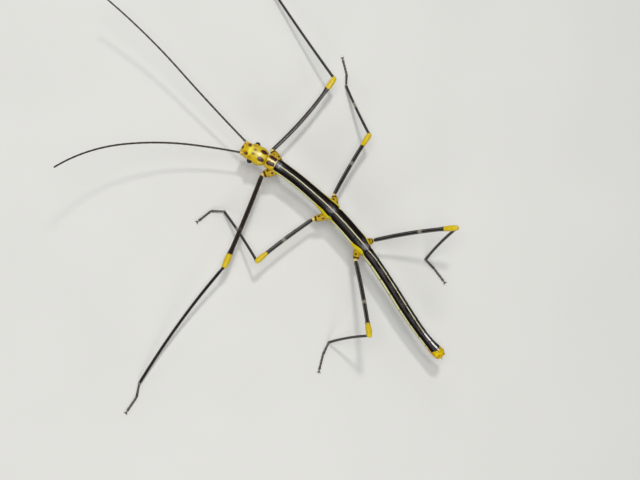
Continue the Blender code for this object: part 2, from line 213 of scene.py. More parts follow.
# %% Lamps
def add_lamp(name, place, width, power):
    """A square soft lamp at a place in metres, which looks at the middle of the insect."""
    data = bpy.data.lights.new(name, "AREA")
    data.size = width
    data.energy = power
    lamp = bpy.data.objects.new(name, data)
    bpy.context.scene.collection.objects.link(lamp)
    lamp.location = place
    lamp.rotation_euler = (-Vector(place)).to_track_quat("-Z", "Y").to_euler()
    return lamp


add_lamp("key", (0.05, -0.01, 0.48), 0.22, 1.1)
add_lamp("spark", (-0.13, -0.09, 0.44), 0.045, 0.62)
add_lamp("edge", (0.34, 0.24, 0.24), 0.2, 0.65)
add_lamp("fill", (-0.3, -0.34, 0.26), 0.3, 0.45)
sky = bpy.data.worlds.new("sky")
sky.use_nodes = True
sky.node_tree.nodes["Background"].inputs["Color"].default_value = (0.86, 0.9, 1, 1)
sky.node_tree.nodes["Background"].inputs["Strength"].default_value = 0.16
bpy.context.scene.world = sky
bpy.context.scene.view_settings.view_transform = "Standard"
print("lamps", len(bpy.data.lights), "and the sky")

# %% [markdown]
# ## A straight rod to start from
#
# Head, trunk, legs and feelers are all tubes with closed ends. So each starts as the same thing: a cylinder,
# cut across into as many short lengths as its detail needs. It is added, lengthened by extruding its end,
# and its long edges are subdivided. After that each ring of points is put on its section of the body, the
# way one would push clay over a wire.

# %% Rod
MOST_CUTS = 100  # of one subdivide


def pick(piece, kind, wanted):
    """Selects, in edit mode, the elements of a kind, EDGE or FACE, for which wanted says yes."""
    bpy.ops.mesh.select_mode(type=kind)
    bpy.ops.mesh.select_all(action="DESELECT")
    mesh = bmesh.from_edit_mesh(piece.data)
    for element in mesh.edges if kind == "EDGE" else mesh.faces:
        if wanted(element):
            element.select_set(True)
    bmesh.update_edit_mesh(piece.data)


def rod(name, lengths, sides):
    """A straight closed cylinder of radius 1, cut across into lengths of 1."""
    select_only()
    ends = [0, min(lengths, MOST_CUTS)]
    bpy.ops.mesh.primitive_cylinder_add(
        vertices=sides, radius=1, depth=ends[1], end_fill_type="TRIFAN", location=(0, 0, ends[1] / 2),
    )
    piece = bpy.context.object
    piece.name = piece.data.name = name
    bpy.ops.object.transform_apply(location=True)
    bpy.ops.object.mode_set(mode="EDIT")
    while ends[-1] < lengths:
        top = ends[-1]
        ends.append(min(lengths, top + MOST_CUTS))
        pick(piece, "FACE", lambda face: face.calc_center_median().z > top - 0.01)
        bpy.ops.mesh.extrude_region_move(TRANSFORM_OT_translate={"value": (0, 0, ends[-1] - top)})
    for low, high in zip(ends, ends[1:]):
        if high - low > 1:
            pick(piece, "EDGE", lambda edge: sorted(round(v.co.z) for v in edge.verts) == [low, high])
            bpy.ops.mesh.subdivide(number_cuts=high - low - 1)
    bpy.ops.object.mode_set(mode="OBJECT")
    return piece


# %% [markdown]
# The finishes need to know where on the animal a point is: markings follow the body, not the room. So while
# a rod is put in shape, each point also keeps its place on the straight animal in an attribute, "marks". A
# painted map wrapped round the body could carry the markings too, but it would blur and show a seam.

# %% Shape
SHELLS = []  # the closed shells that are joined into one skin
SHARP = 40  # degrees over which an edge of the skin isn't smoothed


def point_outwards(piece):
    """Turns all the faces of a closed shell outwards."""
    select_only(piece)
    bpy.ops.object.mode_set(mode="EDIT")
    bpy.ops.mesh.select_all(action="SELECT")
    bpy.ops.mesh.normals_make_consistent(inside=False)
    bpy.ops.object.mode_set(mode="OBJECT")


def shape(piece, place, material):
    """Puts each point of a rod in place and finishes the shell.

    place(ring, angle, reach) gives a point in millimetres and its marks. Reach is 1 on the ring and 0 in the
    middle of an end.
    """
    marks = piece.data.attributes.new("marks", "FLOAT_VECTOR", "POINT")
    for vertex in piece.data.vertices:
        x, y, z = vertex.co
        point, mark = place(round(z), atan2(y, x), min(hypot(x, y), 1))
        vertex.co = point * MM
        marks.data[vertex.index].vector = mark
    piece.data.materials.append(material)
    point_outwards(piece)
    bpy.ops.object.shade_smooth_by_angle(angle=radians(SHARP))
    SHELLS.append(piece)
    return piece


# %% Hills and sections
def bump(value, at, width):
    """A smooth hill of height 1 at a place."""
    return exp(-(((value - at) / width) ** 2))


def step_up(value, start, end):
    """0 before start, 1 after end, and smooth between them."""
    share = min(max((value - start) / (end - start), 0), 1)
    return share * share * (3 - 2 * share)


def around(angle, squareness):
    """Across and up on a rounded square of half width 1, at an angle from the left."""
    across, height = cos(angle), sin(angle)
    return (
        abs(across) ** squareness * (1 if across > 0 else -1),
        abs(height) ** squareness * (1 if height > 0 else -1),
    )


def turn_of(angle):
    """Degrees from the top, between -180 and 180, of an angle from the left."""
    return (degrees(angle) - 90 + 180) % 360 - 180


print("height of a hill at half its width", round(bump(0.5, 0, 1), 2))

# %% [markdown]
# ## Colour
#
# Insect skin is chitin: clear and hard as lacquer, over pigment. It is a plain dielectric with an index of
# refraction near 1.56, and it shines because it is smooth. All colours are written as they look, in hex, and
# one function turns them into the linear light that the shader wants.

# %% Colour and nodes
CHITIN = 1.56  # index of refraction


def paint(code, alpha=1):
    """A linear colour from an sRGB hex code."""
    parts = [int(code[place:place + 2], 16) / 255 for place in (1, 3, 5)]
    return [part / 12.92 if part <= 0.04045 else ((part + 0.055) / 1.055) ** 2.4 for part in parts] + [alpha]


def add(tree, kind, inputs=(), out=0, **settings):
    """Adds a node with its settings, and gives one of its outputs; inputs are values or other outputs."""
    node = tree.nodes.new("ShaderNode" + kind)
    for name, value in settings.items():
        setattr(node, name, value)
    for name, value in inputs.items() if isinstance(inputs, dict) else enumerate(inputs):
        if isinstance(value, bpy.types.NodeSocket):
            tree.links.new(value, node.inputs[name])
        else:
            node.inputs[name].default_value = value
    return node.outputs[out] if len(node.outputs) else node


def new_finish(name):
    """An empty material and its node tree."""
    material = bpy.data.materials.new(name)
    material.use_nodes = True
    material.node_tree.nodes.clear()
    return material, material.node_tree


print("mid grey in linear light", round(paint("#808080")[0], 3))

# %% [markdown]
# ## Markings as masks
#
# Each marking is a number between 0 and 1 on the skin: 1 where the pigment is. Stripes and spots are all
# there is on this animal. They are worked out from the place on the straight animal, so they bend with the
# body and cross no joint in the wrong place. A little wobble keeps their edges from looking printed.

# %% Masks
def past(tree, value, limit, edge):
    """1 where a value is above a limit and 0 where it is below, with a soft edge."""
    beyond = add(tree, "Math", (value, limit), operation="SUBTRACT")
    return add(tree, "Math", (beyond, 1 / edge, 0.5), operation="MULTIPLY_ADD", use_clamp=True)


def stripe(tree, value, middle, half, edge):
    """1 where a value is within half of the middle, with a soft edge."""
    apart = add(tree, "Math", (value, middle), operation="SUBTRACT")
    return past(tree, half, add(tree, "Math", (apart,), operation="ABSOLUTE"), edge)


def oval(tree, where, place, size, edge=0.12):
    """1 inside an oval on the body; place and size are (station, beside) in millimetres."""
    moved = add(tree, "VectorMath", (where, (*place, 0)), operation="SUBTRACT")
    scaled = add(tree, "VectorMath", (moved, (1 / size[0], 1 / size[1], 0)), operation="MULTIPLY")
    far = add(tree, "VectorMath", (scaled,), "Value", operation="LENGTH")
    return past(tree, 1, far, edge / min(size))


# %% Masks together
def where_any(tree, *masks):
    """Several masks as one, as strong as the strongest."""
    result = masks[0]
    for mask in masks[1:]:
        result = add(tree, "Math", (result, mask), operation="MAXIMUM")
    return result


def where_all(tree, *masks):
    """What several masks share; a number among them makes the result fainter."""
    result = masks[0]
    for mask in masks[1:]:
        result = add(tree, "Math", (result, mask), operation="MULTIPLY")
    return result


def ovals(tree, where, *rows):
    """Several ovals as one mask; each row is a place, a size and an edge."""
    return where_any(tree, *(oval(tree, where, *row) for row in rows))


# %% Colours over each other
def over(tree, under, colour, mask):
    """A colour laid over what is under it, as far as the mask says."""
    mixed = add(tree, "Mix", {"Factor": mask}, "Result", data_type="RGBA").node
    for identifier, value in (("A_Color", under), ("B_Color", colour)):
        socket = next(entry for entry in mixed.inputs if entry.identifier == identifier)
        if isinstance(value, bpy.types.NodeSocket):
            tree.links.new(value, socket)
        else:
            socket.default_value = paint(value)
    return next(entry for entry in mixed.outputs if entry.identifier == "Result_Color")


def along_body(tree, station, rows, top):
    """A number that changes along the body as rows of (station, value) say; top is its highest value."""
    ramp = add(tree, "ValToRGB", (add(tree, "Math", (station, BODY_LENGTH), operation="DIVIDE"),))
    stops = ramp.node.color_ramp.elements
    while len(stops) < len(rows):
        stops.new(0.5)
    for number, (place, value) in enumerate(rows):
        stops[number].position = place / BODY_LENGTH
        stops[number].color = (value / top,) * 3 + (1,)
    return add(tree, "Math", (ramp, top), operation="MULTIPLY")


# %% Clouds, marks and lacquer
def clouds(tree, size, out="Fac", detail=2.0, rough=0.5):
    """Cloudy pigment with patches of a size in millimetres."""
    where = add(tree, "TexCoord", out="Object")
    facts = {"Vector": where, "Scale": 1 / (size * MM), "Detail": detail, "Roughness": rough}
    return add(tree, "TexNoise", facts, out)


def read_marks(tree, wobble=0.0, wobble_size=0.8, turn_wobble=20):
    """Place on the straight animal, a little wobbled: along, beside and turn."""
    place = add(tree, "Attribute", out="Vector", attribute_name="marks")
    if wobble:
        cloud = clouds(tree, wobble_size, "Color")
        shake = add(tree, "VectorMath", (cloud, (0.5, 0.5, 0.5)), operation="SUBTRACT")
        reach = (wobble, wobble, wobble * turn_wobble)
        shake = add(tree, "VectorMath", (shake, reach), operation="MULTIPLY")
        place = add(tree, "VectorMath", (place, shake), operation="ADD")
    parts = add(tree, "SeparateXYZ", (place,)).node
    return parts.outputs["X"], parts.outputs["Y"], parts.outputs["Z"]


def both_sides(tree, along, beside):
    """The place on the body with both sides folded onto one."""
    return add(tree, "CombineXYZ", (along, add(tree, "Math", (beside,), operation="ABSOLUTE")))


def lacquer(tree, colour, roughness, grain=0.05, depth=0.01, coat=0.3, gloss=0.5):
    """Clear chitin over pigment: the shader, with a fine grain in its surface."""
    fine = clouds(tree, grain, detail=3.0, rough=0.6)
    relief = add(tree, "Bump", {"Height": fine, "Strength": 0.4, "Distance": depth * MM}, "Normal")
    facts = {
        "Base Color": colour, "Roughness": roughness, "Normal": relief, "IOR": CHITIN,
        "Specular IOR Level": gloss, "Coat Weight": coat, "Coat Roughness": 0.12, "Coat IOR": CHITIN,
    }
    surface = add(tree, "BsdfPrincipled", facts)
    add(tree, "OutputMaterial", {"Surface": surface})
    return surface.node


# %% [markdown]
# ## Finish of the trunk
#
# Thorax and abdomen are black-brown chitin with one cream line down the middle of the back and one along
# each flank. Over the roots of the middle and hind legs the flank lines swell and turn lemon yellow. Patches
# of pale grey are painted highlights, behind the pronotum and between the hips. The last segment is yellow
# all over. Such lines could be painted on, but a mask for each, laid over the one before, keeps their edges
# sharp.

# %% Joints
THORAX_JOINTS = (8.75, 26.05, 33.2, 37.15)
SEGMENT_LENGTHS = (3.2, 3.8, 4.0, 4.0, 4.1, 3.2, 2.4, 2.2, 2.05)  # segments 2 to 10 of the abdomen


def abdomen_joints():
    """Stations of the joints between the segments of the abdomen."""
    joints = [THORAX_JOINTS[-1]]
    for length in SEGMENT_LENGTHS:
        joints.append(joints[-1] + length)
    return joints


JOINTS = abdomen_joints()
print("abdomen ends at", round(JOINTS[-1], 2))

# %% Lines of the trunk
BLACK, DARK_BROWN, CREAM, LEMON, YOLK, ORANGE, RUST = (
    "#060404", "#160D0B", "#E0DDA0", "#D2C012", "#D8BE0B", "#C29209", "#471A08",
)


def plates_of(tree, station):
    """1 but for the black front edge of each plate of the abdomen, which cuts the lines."""
    edges = where_any(tree, *(stripe(tree, station, joint + 0.08, 0.06, 0.1) for joint in JOINTS))
    return add(tree, "Math", (1, edges), operation="SUBTRACT")


def back_line(tree, station, beside, plain_station):
    """Mask and colour of the back line: a quarter of a millimetre, wider at the tail, painted white there as
    a highlight.
    """
    half = along_body(tree, plain_station, (
        (8.6, 0.0), (9.6, 0.1), (24, 0.115), (36, 0.115), (52, 0.13), (58, 0.12), (60, 0.17), (64.2, 0.19),
    ), 0.5)
    cream = over(tree, "#A39B70", "#F2EDC6", clouds(tree, 1.1))
    # Painted highlight: towards the tail the line turns near white.
    cream = over(tree, cream, "#F4F2EC", stripe(tree, station, 62, 2.5, 0.6))
    return stripe(tree, beside, 0, half, 0.07), cream


def flank_line(tree, where, turn, plain_station):
    """Mask and colour of the line along each flank, which lies lower on the abdomen than on the thorax."""
    centre = along_body(tree, plain_station, (
        (8.6, 77), (20.5, 77), (23.6, 71), (25.7, 70), (26.5, 78), (33, 78), (35.6, 68), (36.4, 68),
        (37.8, 87), (60, 90), (63, 92),
    ), 180)
    width = along_body(tree, plain_station, (
        (8.6, 14), (10, 18), (20.5, 18), (23.6, 25), (25.7, 24), (26.5, 18), (33, 18), (35.6, 28),
        (36.4, 28), (37.8, 14), (59, 12), (62, 15),
    ), 180)
    hips = ovals(tree, where, ((24.4, 1.6), (2.9, 2.5), 1.2), ((35.6, 1.5), (2.2, 2.5), 1.2))
    tail = stripe(tree, plain_station, 64.6, 2.0, 0.8)
    return stripe(tree, turn, centre, width, 4), over(tree, over(tree, CREAM, LEMON, hips), "#C8983A", tail)


# %% Bloom and yellow of the trunk
def add_painted_highlights(tree, colour, where):
    """Patchy pale grey painted on the back as highlights, behind the pronotum and between the hips."""
    cloud = clouds(tree, 0.35, detail=3)
    mottle = add(tree, "Math", (cloud, 3.4, -1.1), operation="MULTIPLY_ADD", use_clamp=True)
    front = oval(tree, where, (9.5, 0), (0.75, 0.6), 0.5)
    rear = ovals(tree, where, ((25.2, 0), (0.85, 0.55), 0.4), ((36.2, 0), (0.8, 0.7), 0.5))
    # Both grey patches are painted highlights, mottled by a cloud.
    colour = over(tree, colour, "#BDB6C0", where_all(tree, front, mottle, 0.85))
    return over(tree, colour, "#A29DA4", where_all(tree, rear, mottle, 0.8))


def hip_plates(tree, station, turn):
    """Mask of the yellow plates beside the hips."""
    return where_any(tree, *(
        where_all(tree, stripe(tree, station, place, 1.5, 0.4), stripe(tree, turn, 110, width, 8))
        for place, width in ((9.2, 44), (25.4, 34), (35.4, 34))
    ))


def last_segment(tree, station, beside):
    """Mask and blotchy colour of the last segment; the black reaches further back in the middle."""
    away = add(tree, "Math", (beside,), operation="ABSOLUTE")
    reach = add(tree, "Math", (away, 0.6, station), operation="MULTIPLY_ADD")
    cloud = clouds(tree, 0.5, detail=3)
    blotches = add(tree, "Math", (cloud, 4, -1.7), operation="MULTIPLY_ADD", use_clamp=True)
    return past(tree, reach, 64.7, 1 / 6), over(tree, YOLK, "#A5720C", blotches)


def smooth_ends_and_sheen(tree, station):
    """Mask of patches at the rear ends of the plates, where the skin is smoother and a grey sheen is painted.
    """
    places = (9.8, 25.0, 35.6, *(joint - 1.1 for joint in JOINTS[1:]))
    ends = where_any(tree, *(stripe(tree, station, place, 1.1, 1.0) for place in places))
    cloud = clouds(tree, 0.6, detail=3)
    patches = add(tree, "Math", (cloud, 2.6, -0.8), operation="MULTIPLY_ADD", use_clamp=True)
    return where_all(tree, ends, patches)


# %% Trunk finish
def trunk_finish():
    """Black lacquer with cream lines."""
    material, tree = new_finish("lacquered_black_chitin")
    station, beside, turn = read_marks(tree, 0.12, 0.7, 25)
    plain_station, _, _ = read_marks(tree)
    where = both_sides(tree, station, beside)
    plates = plates_of(tree, station)
    colour = over(tree, BLACK, DARK_BROWN, clouds(tree, 1.5, detail=3))
    middle, cream = back_line(tree, station, beside, plain_station)
    middle = where_all(tree, middle, plates)
    # Painted highlights: grey patches over the black of the thorax.
    colour = add_painted_highlights(tree, over(tree, colour, cream, middle), where)
    flank, line = flank_line(tree, where, turn, plain_station)
    colour = over(tree, colour, line, where_all(tree, flank, plates))
    belly = along_body(tree, plain_station, ((9, 5), (36, 6), (56, 5), (59, 0)), 180)
    colour = over(tree, colour, "#8E8650", stripe(tree, turn, 180, belly, 3))
    hips = hip_plates(tree, station, turn)
    colour = over(tree, colour, YOLK, hips)
    end, yellow = last_segment(tree, station, beside)
    colour = over(tree, colour, yellow, end)
    # The black is finely grained and dull. In patches at the rear ends of the plates it is smoother, and on
    # the back a grey sheen is painted there.
    smooth_and_sheen = smooth_ends_and_sheen(tree, station)
    marked = where_any(tree, flank, middle, hips, end)
    black = add(tree, "Math", (1, marked), operation="SUBTRACT", use_clamp=True)
    # Painted sheen: grey over the black of the back, in the smoother patches.
    colour = over(tree, colour, "#5A5558", where_all(tree, smooth_and_sheen, black, stripe(tree, turn, 14, 14, 10), 0.6))
    roughness = add(tree, "Math", (where_any(tree, smooth_and_sheen, end), -0.12, 0.37), operation="MULTIPLY_ADD")
    lacquer(tree, colour, roughness, grain=0.16, depth=0.04, coat=0.02, gloss=0.12)
    return material


TRUNK = trunk_finish()
print(TRUNK.name, len(TRUNK.node_tree.nodes), "nodes")


# %% Pronotum finish
def pronotum_finish():
    """Yellow with two dark bars, a pale line between them and a pale rim behind them."""
    material, tree = new_finish("lacquered_spotted_chitin")
    station, beside, turn = read_marks(tree, 0.16, 0.6, 25)
    where = both_sides(tree, station, beside)
    colour = over(tree, YOLK, ORANGE, clouds(tree, 0.9, detail=3))
    colour = over(tree, colour, "#E6DC96", stripe(tree, beside, 0, 0.13, 0.1))
    bars = ovals(tree, where, ((7.3, 0.76), (0.72, 0.5)), ((8.0, 0.68), (0.66, 0.46)))
    colour = over(tree, colour, over(tree, "#4A1712", "#240A16", clouds(tree, 0.5)), bars)
    away = add(tree, "Math", (beside,), operation="ABSOLUTE")
    roof = add(tree, "Math", (away, -0.35, station), operation="MULTIPLY_ADD")
    rim = where_all(tree, stripe(tree, roof, 8.5, 0.12, 0.1), stripe(tree, beside, 0, 0.85, 0.3))
    colour = over(tree, colour, "#E4DDB4", rim)
    flank = add(tree, "CombineXYZ", (station, turn))
    spots = ovals(tree, flank, ((7.5, 104), (0.3, 14), 0.1), ((8.3, 138), (0.4, 16), 0.1))
    colour = over(tree, colour, RUST, spots)
    lacquer(tree, colour, 0.38, coat=0.06, gloss=0.28)
    return material


PRONOTUM = pronotum_finish()
print(PRONOTUM.name, len(PRONOTUM.node_tree.nodes), "nodes")

# %% [markdown]
# ## Finish of the head and the hips
#
# The head is the colour of egg yolk, darker and more orange down the sides, with the pigment a little
# cloudy. Two large rust-brown ovals stand at the back of the crown, two faint grey ones between the eyes,
# small ones behind the sockets of the feelers, and more down the cheeks. The hips are a deeper yellow with
# small brown spots, and end in a brown band and a pale ring. The spots are few, so each is set by its place.

# %% Head finish
def head_finish():
    """Egg-yolk yellow with rust-brown spots."""
    material, tree = new_finish("lacquered_yolk_chitin")
    station, beside, turn = read_marks(tree, 0.15, 0.55, 25)
    where = both_sides(tree, station, beside)
    colour = over(tree, YOLK, "#BE9C08", clouds(tree, 0.8, detail=3))
    low = add(tree, "Math", (turn, 0.02, -1.15), operation="MULTIPLY_ADD", use_clamp=True)
    colour = over(tree, colour, "#B0860B", low)
    colour = over(tree, colour, "#E6DA22", oval(tree, where, (2.3, 0), (0.42, 1.3), 0.5))
    # Painted highlight: a pale cream streak down the middle of the crown.
    colour = over(tree, colour, "#E0D374", oval(tree, where, (4.2, 0), (1.3, 0.32), 0.5))
    colour = over(tree, colour, "#7A6438", oval(tree, where, (3.3, 0.53), (0.34, 0.26), 0.3))
    amber = ovals(tree, where, ((1.5, 0.98), (0.62, 0.5), 0.4), ((2.75, 1.5), (0.5, 0.32), 0.3))
    colour = over(tree, colour, "#B57A0A", where_all(tree, amber, 0.75))
    crown = ovals(
        tree, where, ((5.3, 0.93), (0.82, 0.5), 0.2), ((1.74, 1.06), (0.42, 0.36), 0.2),
        ((0.4, 0), (0.26, 0.4), 0.16), ((0.5, 1.16), (0.3, 0.22), 0.14),
    )
    crown = where_all(tree, crown, stripe(tree, turn, 0, 84, 8))
    flank = add(tree, "CombineXYZ", (station, turn))
    cheek = ovals(
        tree, flank, ((4.9, 100), (0.5, 10), 0.1), ((3.9, 124), (0.42, 12), 0.1),
        ((5.4, 140), (0.4, 12), 0.1), ((2.2, 112), (0.3, 12), 0.1),
    )
    rust = over(tree, "#55250A", "#240C04", clouds(tree, 0.4))
    colour = over(tree, colour, rust, where_any(tree, crown, cheek))
    lacquer(tree, colour, 0.33, coat=0.1, gloss=0.32)
    return material


HEAD_SKIN = head_finish()
print(HEAD_SKIN.name, len(HEAD_SKIN.node_tree.nodes), "nodes")

# %% Hip finish
HIP_SPOTS = ((1.5, -0.34), (2.35, 0.5), (1.4, 1.5), (1.9, -1.7), (2.8, -0.6), (2.6, 1.8), (3.3, 0.6))
HIP_GIRTH = 0.95  # radius that turns an angle round the hip into a width


def hip_finish():
    """Yellow with rust-brown spots, a brown band and a pale end."""
    material, tree = new_finish("lacquered_hip_chitin")
    _, turn, left = read_marks(tree, 0.2, 0.5, 1)
    colour = over(tree, "#C3A804", "#A37D03", clouds(tree, 0.7, detail=3))
    beside = add(tree, "Math", (turn, radians(HIP_GIRTH)), operation="MULTIPLY")
    flat = add(tree, "CombineXYZ", (left, beside))
    spots = ovals(tree, flat, *((place, (0.28, 0.26), 0.15) for place in HIP_SPOTS))
    band = stripe(tree, left, 0.68, 0.2, 0.12)
    colour = over(tree, colour, "#4E230A", where_any(tree, spots, band))
    colour = over(tree, colour, "#DDC986", stripe(tree, left, 0.05, 0.28, 0.12))
    lacquer(tree, colour, 0.36, coat=0.03, gloss=0.16)
    return material


HIP = hip_finish()
print(HIP.name, len(HIP.node_tree.nodes), "nodes")

# %% [markdown]
# ## Finish of the legs and feelers
#
# The thighs are black with a painted silvery sheen in the furrows between their keels, a tan ring beyond half
# way and a yolk-yellow knee; the front pair is plainer and browner. The shins are black with a fainter
# painted sheen, and only the middle pair has a ring there. Feet and feelers are dark brown, paler at the
# joints. The pairs differ in length, and a finish can tell them by that.

# %% Lengths of the thighs and the shins
FEMUR = {"front": 22.6, "middle": 16.2, "hind": 19.9}
TIBIA = {"front": 32.15, "middle": 16.2, "hind": 16.75}
KEELS = 4
print("longest thigh and shin", max(FEMUR.values()), max(TIBIA.values()), "mm")


# %% Thigh finish
def sheen_in_furrows(tree, turn, gain, start, streaks):
    """Mask of the painted silvery sheen between the keels of a leg, in streaks."""
    waves = add(tree, "Math", (turn, radians(KEELS)), operation="MULTIPLY")
    furrow = add(tree, "Math", (waves,), operation="COSINE")
    furrow = add(tree, "Math", (furrow, gain, start), operation="MULTIPLY_ADD", use_clamp=True)
    return where_all(tree, furrow, streaks)


def thigh_finish():
    """Black with a painted silvery sheen in the furrows, a tan ring and a yellow knee."""
    material, tree = new_finish("lacquered_thigh_chitin")
    along, turn, left = read_marks(tree, 0.15, 0.6, 1)
    total = add(tree, "Math", (along, left), operation="ADD")
    # The front pair, which feels the way, is plain dark brown: it has almost no painted sheen and no ring.
    front = stripe(tree, total, FEMUR["front"], 0.8, 0.3)
    others = add(tree, "Math", (front, -0.85, 1), operation="MULTIPLY_ADD")
    colour = over(tree, "#0E0B08", "#1F1712", clouds(tree, 1.2, detail=3))
    colour = over(tree, colour, "#20160D", front)
    # Painted sheen: silvery grey in the furrows between the keels.
    sheen = sheen_in_furrows(tree, turn, 2.2, -1.25, clouds(tree, 1.6, detail=3))
    colour = over(tree, colour, "#928E88", where_all(tree, sheen, 1.1, others))
    # The ring stands further out on the longer thighs.
    place = add(tree, "Math", (total, 0.8, -4.6), operation="MULTIPLY_ADD")
    ring = stripe(tree, along, place, 0.42, 0.3)
    colour = over(tree, colour, "#A79F8C", where_all(tree, ring, others, 0.6))
    ragged = add(tree, "Math", (clouds(tree, 0.35), 0.9, 2.5), operation="MULTIPLY_ADD")
    knee = over(tree, "#DCC812", "#C9A008", clouds(tree, 0.8))
    colour = over(tree, colour, knee, past(tree, ragged, left, 0.2))
    lacquer(tree, colour, 0.36, coat=0.05, gloss=0.3)
    return material


THIGH = thigh_finish()
print(THIGH.name, len(THIGH.node_tree.nodes), "nodes")


# %% Shin finish
def shin_finish():
    """Black with a fainter painted sheen in the furrows and a pale end; the middle pair has a tan ring."""
    material, tree = new_finish("lacquered_shin_chitin")
    along, turn, left = read_marks(tree, 0.15, 0.6, 1)
    colour = over(tree, "#0E0C09", "#1D1812", clouds(tree, 1.2, detail=3))
    # Painted sheen: a fainter grey in the furrows.
    sheen = sheen_in_furrows(tree, turn, 2.0, -1.3, clouds(tree, 2.4, detail=3))
    colour = over(tree, colour, "#77746C", sheen)
    total = add(tree, "Math", (along, left), operation="ADD")
    middle_pair = stripe(tree, total, TIBIA["middle"], 0.25, 0.1)
    ring = where_all(tree, stripe(tree, along, 9.6, 0.8, 0.3), middle_pair)
    pale = where_any(tree, ring, stripe(tree, left, 0, 0.3, 0.2))
    colour = over(tree, colour, "#A39C8A", where_all(tree, pale, 0.6))
    lacquer(tree, colour, 0.38, coat=0.04, gloss=0.3)
    return material


SHIN = shin_finish()
print(SHIN.name, len(SHIN.node_tree.nodes), "nodes")


# %% Foot and feeler finishes
def foot_finish():
    """Dark brown, paler at the joints."""
    material, tree = new_finish("lacquered_foot_chitin")
    _, _, pale = read_marks(tree)
    colour = over(tree, "#12100E", "#241B14", clouds(tree, 0.6, detail=3))
    colour = over(tree, colour, "#7C6A50", where_all(tree, pale, 0.6))
    lacquer(tree, colour, 0.38)
    return material


def feeler_finish():
    """Dark brown with faint paler joints and a felt of very short hairs, which makes it dull."""
    material, tree = new_finish("felted_feeler_chitin")
    _, _, pale = read_marks(tree)
    colour = over(tree, "#1D1712", "#332A20", clouds(tree, 1.5, detail=3))
    colour = over(tree, colour, "#6A5B45", where_all(tree, pale, 0.5))
    lacquer(tree, colour, 0.5, coat=0.0)
    return material


FOOT_SKIN, FEELER = foot_finish(), feeler_finish()
print(FOOT_SKIN.name, FEELER.name)


# %% Membrane finish
def membrane_finish():
    """Soft pale skin between the plates."""
    material, tree = new_finish("soft_joint_membrane")
    colour = over(tree, "#8E7424", "#5E4A1C", clouds(tree, 0.3, detail=3))
    lacquer(tree, colour, 0.5, depth=0.02, coat=0.0)
    return material


MEMBRANE = membrane_finish()
print("finishes", len(bpy.data.materials))

# %% [markdown]
# ## Trunk
#
# Thorax and abdomen are one tube of skin. Each plate ends in a thin lip that lies over the next one, and the
# joint behind it is pinched. The plates of the back and of the belly meet in a furrow along each side. All
# this could be cut in by hand with bevels, but there are more than twenty joints, so the furrows and lips
# are hills and dips in a formula that says how far a point is raised over its plain section.

# %% Outline of the trunk
# Rows of station, half width, height over the axis and depth under it.
OUTLINE = (
    (6.35, 1.5, 1.2, 1.15), (6.7, 1.7, 1.36, 1.3), (7.4, 1.78, 1.42, 1.42), (8.1, 1.78, 1.42, 1.52),
    (8.7, 1.62, 1.34, 1.46), (8.8, 1.56, 1.3, 1.44), (9.3, 1.7, 1.42, 1.54), (10.6, 1.65, 1.42, 1.5),
    (13.0, 1.62, 1.45, 1.46), (17.5, 1.64, 1.48, 1.48), (21.5, 1.74, 1.52, 1.54), (23.6, 1.98, 1.56, 1.64),
    (24.9, 2.18, 1.58, 1.72), (25.6, 2.12, 1.55, 1.65), (26.0, 1.8, 1.48, 1.55), (26.6, 1.84, 1.5, 1.54),
    (29.5, 1.85, 1.5, 1.56), (32.5, 1.86, 1.5, 1.58), (34.3, 1.95, 1.52, 1.7), (35.3, 1.88, 1.5, 1.66),
    (36.3, 1.66, 1.42, 1.46), (37.2, 1.46, 1.28, 1.28), (44, 1.38, 1.26, 1.27), (52, 1.4, 1.24, 1.25),
    (58, 1.24, 1.18, 1.2), (61, 1.18, 1.15, 1.12), (63.5, 1.34, 1.14, 1.05), (65.2, 1.48, 1.0, 0.95),
    (66.2, 1.2, 0.8, 0.7),
)
SQUARENESS = 0.9
TRUNK_SIDES = 56
INSIDE = 0.975  # the skin's share of the solids' width
RING_STEP, FIRST_RING, LAST_RING = 0.3, 6.42, 65.4
NEAR_JOINT = (-0.26, -0.16, -0.09, -0.04, -0.012, 0.012, 0.05, 0.11, 0.2, 0.28)  # rings round a joint
PRONOTUM_END = 8.8
print("widest", 2 * max(row[1] for row in OUTLINE), "mm")


# %% Rings of the trunk
def trunk_rings():
    """Rings of the trunk as (station, reach): close together at the joints and the ends."""
    count = int((LAST_RING - FIRST_RING) / RING_STEP)
    stations = {FIRST_RING + RING_STEP * number for number in range(count)}
    for joint in (*THORAX_JOINTS, *JOINTS[1:-1]):
        stations = {station for station in stations if abs(station - joint) > NEAR_JOINT[-1]}
        stations |= {joint + away for away in NEAR_JOINT}
    front = [(6.38, 0.55), (6.35, 0.86), (6.37, 0.96)]
    rear = [(65.45, 1), (65.7, 0.985), (65.88, 0.94), (66.0, 0.86), (66.08, 0.7), (66.1, 0.45)]
    return front + [(station, 1) for station in sorted(stations)] + rear


print("rings of the trunk", len(trunk_rings()))


